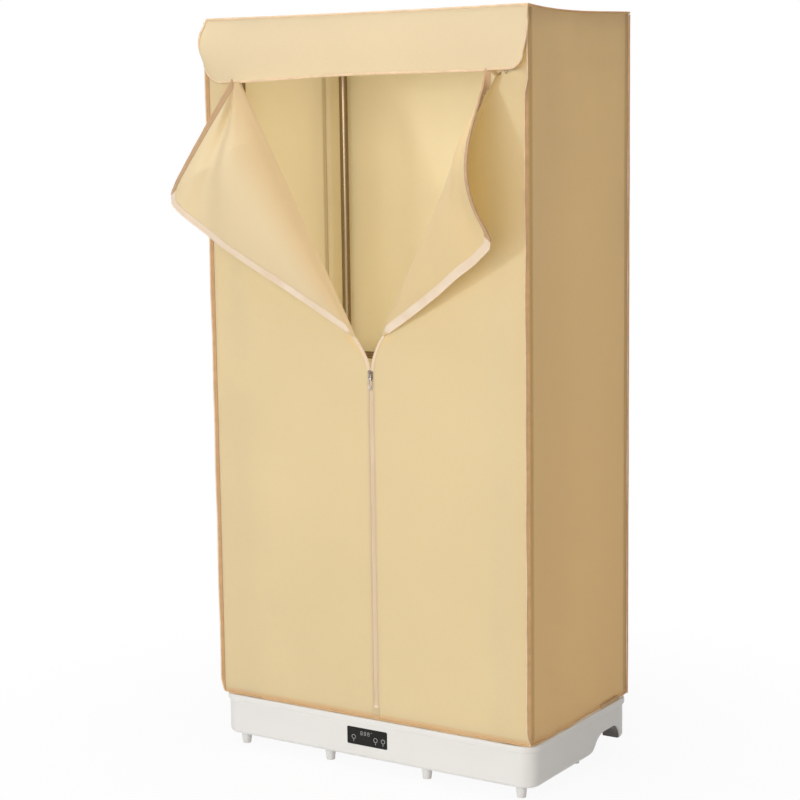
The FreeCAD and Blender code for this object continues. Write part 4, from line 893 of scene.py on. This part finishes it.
def foot_strip(lapel, finish):
    """Zip tape on the panel's edge between the slider and the fold."""
    zs = spread(SLIDER_TOP - 0.004, lapel.foot_z + 0.004, 24)
    widths = [FOOT_TAPE_WIDE * k / 3 for k in range(4)]
    rows = [[(lapel.bound(z) + lapel.sign * w, FRONT - 0.0016, z) for w in widths] for z in zs]
    cuts = [[(w, z) for w in widths] for z in zs]
    return solid_sheet(f"zip_tape_{lapel.side}_foot", rows, cuts, finish, TAPE, flip=lapel.side == "left")


def edge_strip(name, lapel, along, width, finish, lift=TAPE_LIFT):
    """Tape sewn on the shown side of the lapel, along its free edge."""
    rows, cuts, run = [], [], 0.0
    for s in along:
        share = lapel.strip_share(s, width)
        row = [lapel.face(s, 1 - share * k / 4, lift) for k in range(5)]
        if rows:
            run += float(np.linalg.norm(row[0] - rows[-1][0]))
        rows.append(row)
        cuts.append([(width * k / 4, run) for k in range(5)])
    return solid_sheet(name, rows, cuts, finish, TAPE, flip=lapel.side == "left")


def tooth_shape():
    """One moulded tooth: a flat foot with a rounded head."""
    deselect()
    bpy.ops.mesh.primitive_cube_add(size=1)
    tooth = active()
    tooth.scale = TOOTH_SIZE
    bpy.ops.object.transform_apply(scale=True)
    with edit_mode():
        bpy.ops.mesh.bevel(offset=0.0004, segments=1, affect="EDGES")
    return tooth


def teeth_row(name, tooth, places, finish):
    """Copies of the tooth at the places, each (point, across, along)."""
    copies = []
    for point, across, along in places:
        x = Vector(across).normalized()
        z = Vector(along).normalized()
        y = z.cross(x).normalized()
        z = x.cross(y)
        mesh = tooth.data.copy()
        mesh.transform(Matrix.Translation(point) @ Matrix((x, y, z)).transposed().to_4x4())
        copies.append(linked(name, mesh))
    return join(name, copies, finish)


def straight_teeth(lapel, tooth, finish):
    """Teeth under the fold: the two rows mesh up to the slider and part over it."""
    sign, y, step = lapel.sign, FRONT - 0.0003, 0.001
    places = []
    z = ZIP_LOW + 0.001 + (0 if lapel.side == "left" else TOOTH_PITCH / 2)
    while z < SLIDER_Z:
        places.append(((ZIP_X + sign * 0.0021, y, z), (sign, 0, 0), (0, 0, 1)))
        z += TOOTH_PITCH
    z = SLIDER_TOP
    while z < lapel.foot_z:
        lean = (lapel.bound(z + step) - lapel.bound(z - step)) / (2 * step)
        places.append(((lapel.bound(z), y, z), (sign, 0, -sign * lean), (lean, 0, 1)))
        z += TOOTH_PITCH / math.hypot(1, lean)
    return teeth_row(f"zip_teeth_{lapel.side}", tooth, places, finish)


def lapel_teeth(lapel, tooth, finish):
    """Teeth along the free edge, from the fold to the corner."""
    places, run, first, step = [], 0.0, 0.03, 0.005
    last = lapel.edge(first)
    for s in shares(first, lapel.turn - 0.02, 1400):
        here = lapel.edge(s)
        run += float(np.linalg.norm(here - last))
        last = here
        if run >= TOOTH_PITCH:
            run -= TOOTH_PITCH
            inward = lapel.point(s, 0.97) - here
            along = lapel.edge(s + step) - lapel.edge(s - step)
            places.append((tuple(lapel.face(s, 1, 0.0007)), tuple(inward), tuple(along)))
    return teeth_row(f"zip_teeth_{lapel.side}_lapel", tooth, places, finish)


def zip_backing(tape):
    """Tape behind the closed teeth, and the sewn overlap under their lower end."""
    us = spread(ZIP_LEFT - 0.004, ZIP_RIGHT + 0.004, 9)
    back = plain_sheet("zip_backing", us, spread(HEM + 0.004, SLIDER_Z, 60),
                       lambda x, z: (x, FRONT + 0.0014, z), tape)
    dress(back, slot="zip_teeth")

    row_x, half = 0.0055, 0.0085

    def overlap(x, z):
        ridge = 0.0006 * math.cos(2 * math.pi * (x - ZIP_X) / (2 * row_x))
        return (x, FRONT - 0.0016 - ridge, z)

    finish = cloth_finish("overlap_weave", CREAM, [("up", ZIP_X - row_x), ("up", ZIP_X + row_x)], True)
    foot = plain_sheet("zip_overlap", spread(ZIP_X - half, ZIP_X + half, 15),
                       spread(HEM + 0.0005, ZIP_LOW - 0.004, 12), overlap, finish)
    dress(foot)


def plate(middle, size, corner, taper=1.0, dish=0.0):
    """Small pressed plate facing the front: rounded corners, narrower foot, a dished face if asked."""
    deselect()
    bpy.ops.mesh.primitive_cube_add(size=1, location=middle)
    piece = active()
    piece.scale = size
    bpy.ops.object.transform_apply(location=True, scale=True)
    mesh = piece.data

    def depth(edge):
        one, two = (mesh.vertices[v].co.y for v in edge.vertices)
        return abs(one - two)

    pick(piece, edges=[e.index for e in mesh.edges if depth(e) > size[1] / 2])
    with edit_mode(False):
        bpy.ops.mesh.bevel(offset=corner, segments=4, affect="EDGES")
    if taper != 1:
        pick(piece, verts=[v.index for v in mesh.vertices if v.co.z < middle[2]])
        with edit_mode(False):
            bpy.ops.transform.resize(value=(taper, 1, 1), center_override=middle)
    if dish:
        pick(piece, faces=[max((f for f in mesh.polygons if f.normal.y < -0.9), key=lambda f: f.area).index])
        with edit_mode(False):
            bpy.ops.mesh.inset(thickness=corner / 3)
            bpy.ops.mesh.extrude_region_move(TRANSFORM_OT_translate={"value": (0, dish, 0)})
    with edit_mode(False):
        bpy.ops.mesh.select_all(action="DESELECT")
        bpy.ops.mesh.select_mode(type="EDGE")
        bpy.ops.mesh.edges_select_sharp(sharpness=math.radians(60))
        bpy.ops.mesh.bevel(offset=min(size) * 0.14, segments=2, affect="EDGES")
        bpy.ops.mesh.select_mode(type="VERT")
    return piece


def loop(middle, radius, wire, turn, stretch, keep=None):
    """Bent wire ring, stretched, and cut off behind the plane at keep if asked."""
    deselect()
    bpy.ops.mesh.primitive_torus_add(major_radius=radius, minor_radius=wire, major_segments=28,
                                     minor_segments=10, location=middle, rotation=turn)
    piece = active()
    bpy.ops.object.transform_apply(location=True, rotation=True)
    with edit_mode():
        bpy.ops.transform.resize(value=stretch, center_override=middle)
        if keep is not None:
            bpy.ops.mesh.select_all(action="SELECT")
            bpy.ops.mesh.bisect(plane_co=(0, keep, 0), plane_no=(0, 1, 0), use_fill=True, clear_outer=True)
    return piece


def zip_metalwork(nickel):
    """The two sliders and the pull, each of pressed plates and a bent wire loop."""
    across, facing = (0, math.pi / 2, 0), (math.pi / 2, 0, 0)
    front = FRONT - 0.0039
    slider = [
        plate((ZIP_X, front, SLIDER_Z), (0.0108, 0.0018, 0.0205), 0.0034, 0.80, 0.0004),
        plate((ZIP_X, FRONT + 0.0027, SLIDER_Z), (0.0100, 0.0016, 0.0190), 0.0032, 0.82),
        plate((ZIP_X, FRONT - 0.0006, SLIDER_Z + 0.0078), (0.0030, 0.0060, 0.0034), 0.0008),
        loop((ZIP_X, front - 0.0006, SLIDER_Z), 0.0042, 0.0011, across, (1, 1, 1.35), front - 0.0002),
    ]
    pull = [
        loop((ZIP_X, PIN_Y, SLIDER_Z - 0.0172), 0.0032, 0.0009, facing, (1, 1, 3.3)),
        plate((ZIP_X - 0.0030, PIN_Y, SLIDER_Z - 0.0022), (0.0016, 0.0018, 0.0088), 0.0005),
        plate((ZIP_X + 0.0030, PIN_Y, SLIDER_Z - 0.0022), (0.0016, 0.0018, 0.0088), 0.0005),
        plate((ZIP_X, PIN_Y, SLIDER_Z + 0.0008), (0.0074, 0.0018, 0.0018), 0.0005),
    ]
    upper_x, upper_z = 0.338, 1.441
    upper = [
        plate((upper_x, FRONT - 0.0022, upper_z), (0.0115, 0.0015, 0.0080), 0.0024, 1.0, 0.0003),
        plate((upper_x, FRONT + 0.0034, upper_z), (0.0105, 0.0013, 0.0074), 0.0022),
        plate((upper_x + 0.0040, FRONT + 0.0006, upper_z), (0.0026, 0.0050, 0.0026), 0.0006),
        loop((upper_x - 0.0042, FRONT - 0.0036, upper_z - 0.0052), 0.0038, 0.0006, facing, (0.85, 1, 1.35)),
    ]
    aged = sheet_metal("aged_nickel_plate", (0.31, 0.26, 0.215), (0.26, 0.4), (60, 60, 60))
    for name, parts, plating in (("zip_slider", slider, aged), ("zip_pull", pull, nickel),
                                 ("top_zip_slider", upper, aged)):
        dress(join(name + "_metal", parts, plating), name, body=name, slot="zip_metal")


def fronts_and_zip(looks):
    """Both front panels with what is sewn on them, and the zip."""
    tape = tape_finish("zip_tape_weave", PALE)
    # The upper tape is the zip tape darkened to brown, as painted shade.
    shaded_top_tape = tape_finish("shaded_upper_tape_weave", (0.60, 0.40, 0.225))
    binding = binding_finish("upper_binding_weave", (0.66, 0.43, 0.255))
    nylon = looks["zip_teeth"]
    tooth = tooth_shape()
    for side, lapel in LAPELS.items():
        piece = front_cloth(lapel)
        upper_edge = shares(lapel.turn + 0.004, 0.988, 36)
        strip = edge_strip(f"zip_tape_{side}_lapel", lapel, shares(0.03, lapel.turn, 60), TAPE_WIDE, tape)
        upper = edge_strip(f"upper_tape_{side}_lapel", lapel, upper_edge, UPPER_TAPE_WIDE, shaded_top_tape)
        under = edge_strip(f"upper_tape_{side}_under", lapel, upper_edge, UPPER_TAPE_WIDE, shaded_top_tape,
                           -TAPE_LIFT)
        path = [lapel.edge(s) + OUT * 0.0007 * ripple(s, 0.3, 0.03, 1.9)
                for s in shares(lapel.turn + 0.002, 0.988, 90)]
        bound = tube(f"upper_binding_{side}", path, BINDING, binding)
        teeth = lapel_teeth(lapel, tooth, nylon)
        foot = foot_strip(lapel, tape)
        row = straight_teeth(lapel, tooth, nylon)
        body = f"{side}_lapel"
        for part, slot in [(piece, "cover_cloth"), (strip, "zip_teeth"), (upper, "zip_teeth"),
                           (under, "zip_teeth"), (teeth, "zip_teeth"), (bound, "piping_cord")]:
            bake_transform(part)
        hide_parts(f"front_{side}_panel", f"{side}_fold", body)
        dress(foot, slot="zip_teeth")
        dress(row, f"zip_row_{side}", slot="zip_teeth")
    bpy.data.objects.remove(tooth)
    zip_backing(tape)
    zip_metalwork(looks["zip_metal"])


# Seams, hem and tab.

def seam_flange(corner, ways, length, finish):
    """Bound seam out from a corner, turned another way beside the valance, and ending in the hem."""
    root = np.array(corner)
    rows, cuts, tip = [], [], []
    for h in spread(HEM + 0.002, TOP - 0.004, 110):
        grown = float(smooth((h - HEM + 0.006) / 0.035))
        reach = length * (1 + 0.10 * ripple(h, 0.1, 0.21, length * 400)) * grown
        sway = 0.0007 * ripple(h, 0.4, 0.16, length * 300)
        way = ways[0] + (ways[1] - ways[0]) * float(smooth((h - 1.385) / 0.04))
        way = way / np.hypot(*way)
        line = [root + way * reach * k / 4 + np.array([-way[1], way[0]]) * sway * k / 4 for k in range(5)]
        rows.append([(*p, h) for p in line])
        cuts.append([(length * k / 4, h) for k in range(5)])
        tip.append((*line[-1], h))
    return [solid_sheet("flange", rows, cuts, finish, 0.0022), tube("flange_cord", tip, 0.0017, lit_trim)]


def piping():
    """Bound and corded seams: flanges at the two front corners, cords along the other seams."""
    x, y, z = HALF_X + SEAM_OFF, HALF_Y + SEAM_OFF, TOP + SEAM_OFF
    # The left front flange is bound darker, as painted shade; its tip cord is paler, as painted light.
    cords = seam_flange((-HALF_X, -HALF_Y), np.array([(-0.92, -0.4)] * 2), 0.0075, shaded_trim)
    cords += seam_flange((HALF_X, -HALF_Y), np.array([(-0.5, -0.87), (0.3, -1)]), 0.0085, trim)
    for sx in (-1, 1):
        path = [(sx * (x + 0.0003 * ripple(h, 0, 0.2, sx)), y, h)
                for h in spread(HEM + 0.001, TOP - 0.002, 80)]
        cords.append(tube("rear_cord", path, 0.002, trim))
    for sy in (-1, 1):
        path = [(u, sy * y,
                 z - 0.0018 * math.sin(math.pi * (u + x) / (2 * x)) - 0.0004 * abs(ripple(u, 0, 0.07, sy)))
                for u in spread(-x, x, 90)]
        cords.append(tube("long_cord", path, 0.0024, lit_trim))
    for sx in (-1, 1):
        path = [(sx * x, v, z - (top_sag(v) if sx > 0 else 0.002 * math.sin(math.pi * (v + y) / (2 * y))))
                for v in spread(-y, y, 60)]
        cords.append(tube("short_cord", path, 0.002, trim))
    dress(join("seam_piping", cords), "edge_piping", slot="piping_cord")


def hem_cord():
    """Rolled lower hem of the cover, round all four sides."""
    x, y, corner, pitch = HALF_X + 0.0004, HALF_Y + 0.0004, 0.014, 0.012
    path = []
    for cx, cy, start in [(1, -1, -90), (1, 1, 0), (-1, 1, 90), (-1, -1, 180)]:
        for k in range(9):
            a = math.radians(start + 90 * k / 8)
            path.append((cx * (x - corner) + corner * math.cos(a), cy * (y - corner) + corner * math.sin(a)))
    path.append(path[0])
    line = []
    for (ax, ay), (bx, by) in zip(path, path[1:]):
        steps = max(1, int(math.hypot(bx - ax, by - ay) / pitch))
        for k in range(steps):
            t = k / steps
            px, py = ax + (bx - ax) * t, ay + (by - ay) * t
            line.append((px, py, HEM + 0.0012 + 0.0006 * ripple(px, py, 0.12, 0.8)))
    line.append(line[0])
    dress(tube("lower_hem", line, 0.0015, trim), slot="piping_cord")


def hem_tab():
    """Flat tab of doubled cloth that hangs out under the lower hem near the rear."""
    near_y, wide, drop = 0.087, 0.080, 0.017
    rows, cuts = [], []
    for k in range(13):
        t = k / 12
        z = HEM + 0.007 - drop * min(t, 1 - t) * 2
        x = HALF_X + (0.0016 + 0.0022 * math.sin(math.pi * t) + (0.0014 if t > 0.5 else 0))
        rows.append([(x, near_y + wide * w / 8, z - 0.0012 * math.sin(0.5 * w)) for w in range(9)])
        cuts.append([(wide * w / 8, 2 * drop * t) for w in range(9)])
    piece = solid_sheet("hem_tab", rows, cuts, tape_finish("hem_tab_weave", (0.72, 0.50, 0.27)), TAPE)
    dress(piece)


# Control window marks.

def key_marks():
    """Plain touch-key marks on the dark window: rings with a bar, and seven-bar figures between them."""
    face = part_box("control_panel")[0].y
    middle_x, middle_z = -0.008, 0.0725
    thick, line, bar_step = 0.00012, 0.0010, 0.0036
    pieces = []

    def ring(x, z, radius):
        deselect()
        bpy.ops.mesh.primitive_circle_add(vertices=28, radius=radius, fill_type="NGON",
                                          location=(middle_x + x, face - 0.00005, middle_z + z),
                                          rotation=(math.pi / 2, 0, 0))
        pieces.append(active())
        bpy.ops.object.transform_apply(location=True, rotation=True)
        with edit_mode():
            bpy.ops.mesh.inset(thickness=0.0012)
            bpy.ops.mesh.delete(type="FACE")
            bpy.ops.mesh.select_all(action="SELECT")
            bpy.ops.mesh.extrude_region_move(TRANSFORM_OT_translate={"value": (0, -thick, 0)})
            bpy.ops.mesh.select_all(action="SELECT")
            bpy.ops.mesh.normals_make_consistent(inside=False)

    def bar(x, z, width, height):
        deselect()
        bpy.ops.mesh.primitive_cube_add(size=1, location=(middle_x + x, face - 0.0001, middle_z + z))
        pieces.append(active())
        pieces[-1].scale = (width, 0.00016, height)
        bpy.ops.object.transform_apply(location=True, scale=True)
        with edit_mode():
            bpy.ops.mesh.bevel(offset=min(width, height) * 0.3, segments=2, affect="EDGES",
                               clamp_overlap=True)

    for x in (-0.0333, 0.0211, 0.0398):
        ring(x, -0.0025, 0.0050)
        bar(x, -0.0105, 0.0012, 0.0040)
    for x in (-0.0137, -0.0050, 0.0037):
        for step in range(3):
            bar(x, 0.0112 - bar_step * step, 0.0038, line)
        for side in (-0.0022, 0.0022):
            for step in range(2):
                bar(x + side, 0.0094 - bar_step * step, line, 0.0027)
    bar(0.0115, 0.0112, 0.0024, line)
    print_grey = dusted("key_print_grey", 0.3, (2500, 2), ((0.34, 0.34, 0.33), (0.42, 0.42, 0.41)),
                        ((0.35, 0.65), (0.3, 0.7)), (0.4, 0.55))
    dress(join("touch_marks", pieces, print_grey), slot="panel_black")


# Camera, stage and lamps.

def set_camera():
    """The photograph's view: turned to the right of the front, tipped down and a little rolled."""
    turned, tipped, rolled = (math.radians(a) for a in CAMERA_TURN)
    data = bpy.data.cameras.new("camera")
    data.sensor_width, data.lens = CAMERA_SENSOR, CAMERA_LENS
    scene.camera = linked("camera", data)
    scene.camera.matrix_world = (Matrix.Translation(CAMERA_PLACE) @ Matrix.Rotation(turned, 4, "Z")
                                 @ Matrix.Rotation(math.pi / 2 - tipped, 4, "X")
                                 @ Matrix.Rotation(rolled, 4, "Z"))


def softbox(name, place, aim, size, power, tint):
    data = bpy.data.lights.new(name, "AREA")
    data.shape = "RECTANGLE"
    data.size, data.size_y = size
    data.energy, data.color = power, tint
    lamp = linked(name, data)
    lamp.location = place
    lamp.rotation_euler = (Vector(aim) - Vector(place)).to_track_quat("-Z", "Y").to_euler()
    lamp.visible_camera = False


def studio():
    """White room, a floor that keeps the shadow, and the lamps. Those inside give the thin cloth its glow."""
    scene.world = bpy.data.worlds.new("studio")
    scene.world.use_nodes = True
    room = Nodes(scene.world.node_tree)
    light = room.tree.nodes["Background"]
    light.inputs["Color"].default_value = (1, 1, 1, 1)
    light.inputs["Strength"].default_value = ROOM_LIGHT
    paper = room.node("ShaderNodeBackground", None, {"Color": (1, 1, 1, 1), "Strength": 1.0})
    room.close("World Output", room.shown(), light, paper)

    deselect()
    bpy.ops.mesh.primitive_circle_add(vertices=96, radius=9, fill_type="NGON", location=(0, 0, -0.0005))
    floor = active()
    floor.name = "studio_floor"
    bpy.ops.object.transform_apply(location=True)
    f = Finish("studio_floor_paper", base_color=(0.86, 0.86, 0.86), roughness=0.9, specular_ior_level=0.1)
    far = f.node("ShaderNodeVectorMath", {"operation": "LENGTH"}, {0: f.place()}, 1)
    glow = f.node("ShaderNodeEmission", None, {"Color": (1, 1, 1, 1), "Strength": 1.0})
    f.close("Material Output", f.shown() * f.remap(far, 0.45, 1.25, 0.93, 1.0), f.shader, glow)
    coat(floor, f.material)
    floor.select_set(False)
    for lamp in LAMPS:
        softbox(*lamp)


set_camera()
studio()
# One binding in three tones: paler as painted light on lit cords, darker as painted shade on the left flange.
trim = binding_finish("seam_binding", AMBER)
lit_trim = binding_finish("lit_seam_binding", (0.90, 0.69, 0.46))
shaded_trim = binding_finish("shaded_flange_binding", (0.66, 0.40, 0.205))
looks = dress_cad()
for hand in ("left", "right"):
    side_cover(hand)
back_cover()
roof()
header()
valance_cloth()
fronts_and_zip(looks)
piping()
hem_cord()
hem_tab()
key_marks()
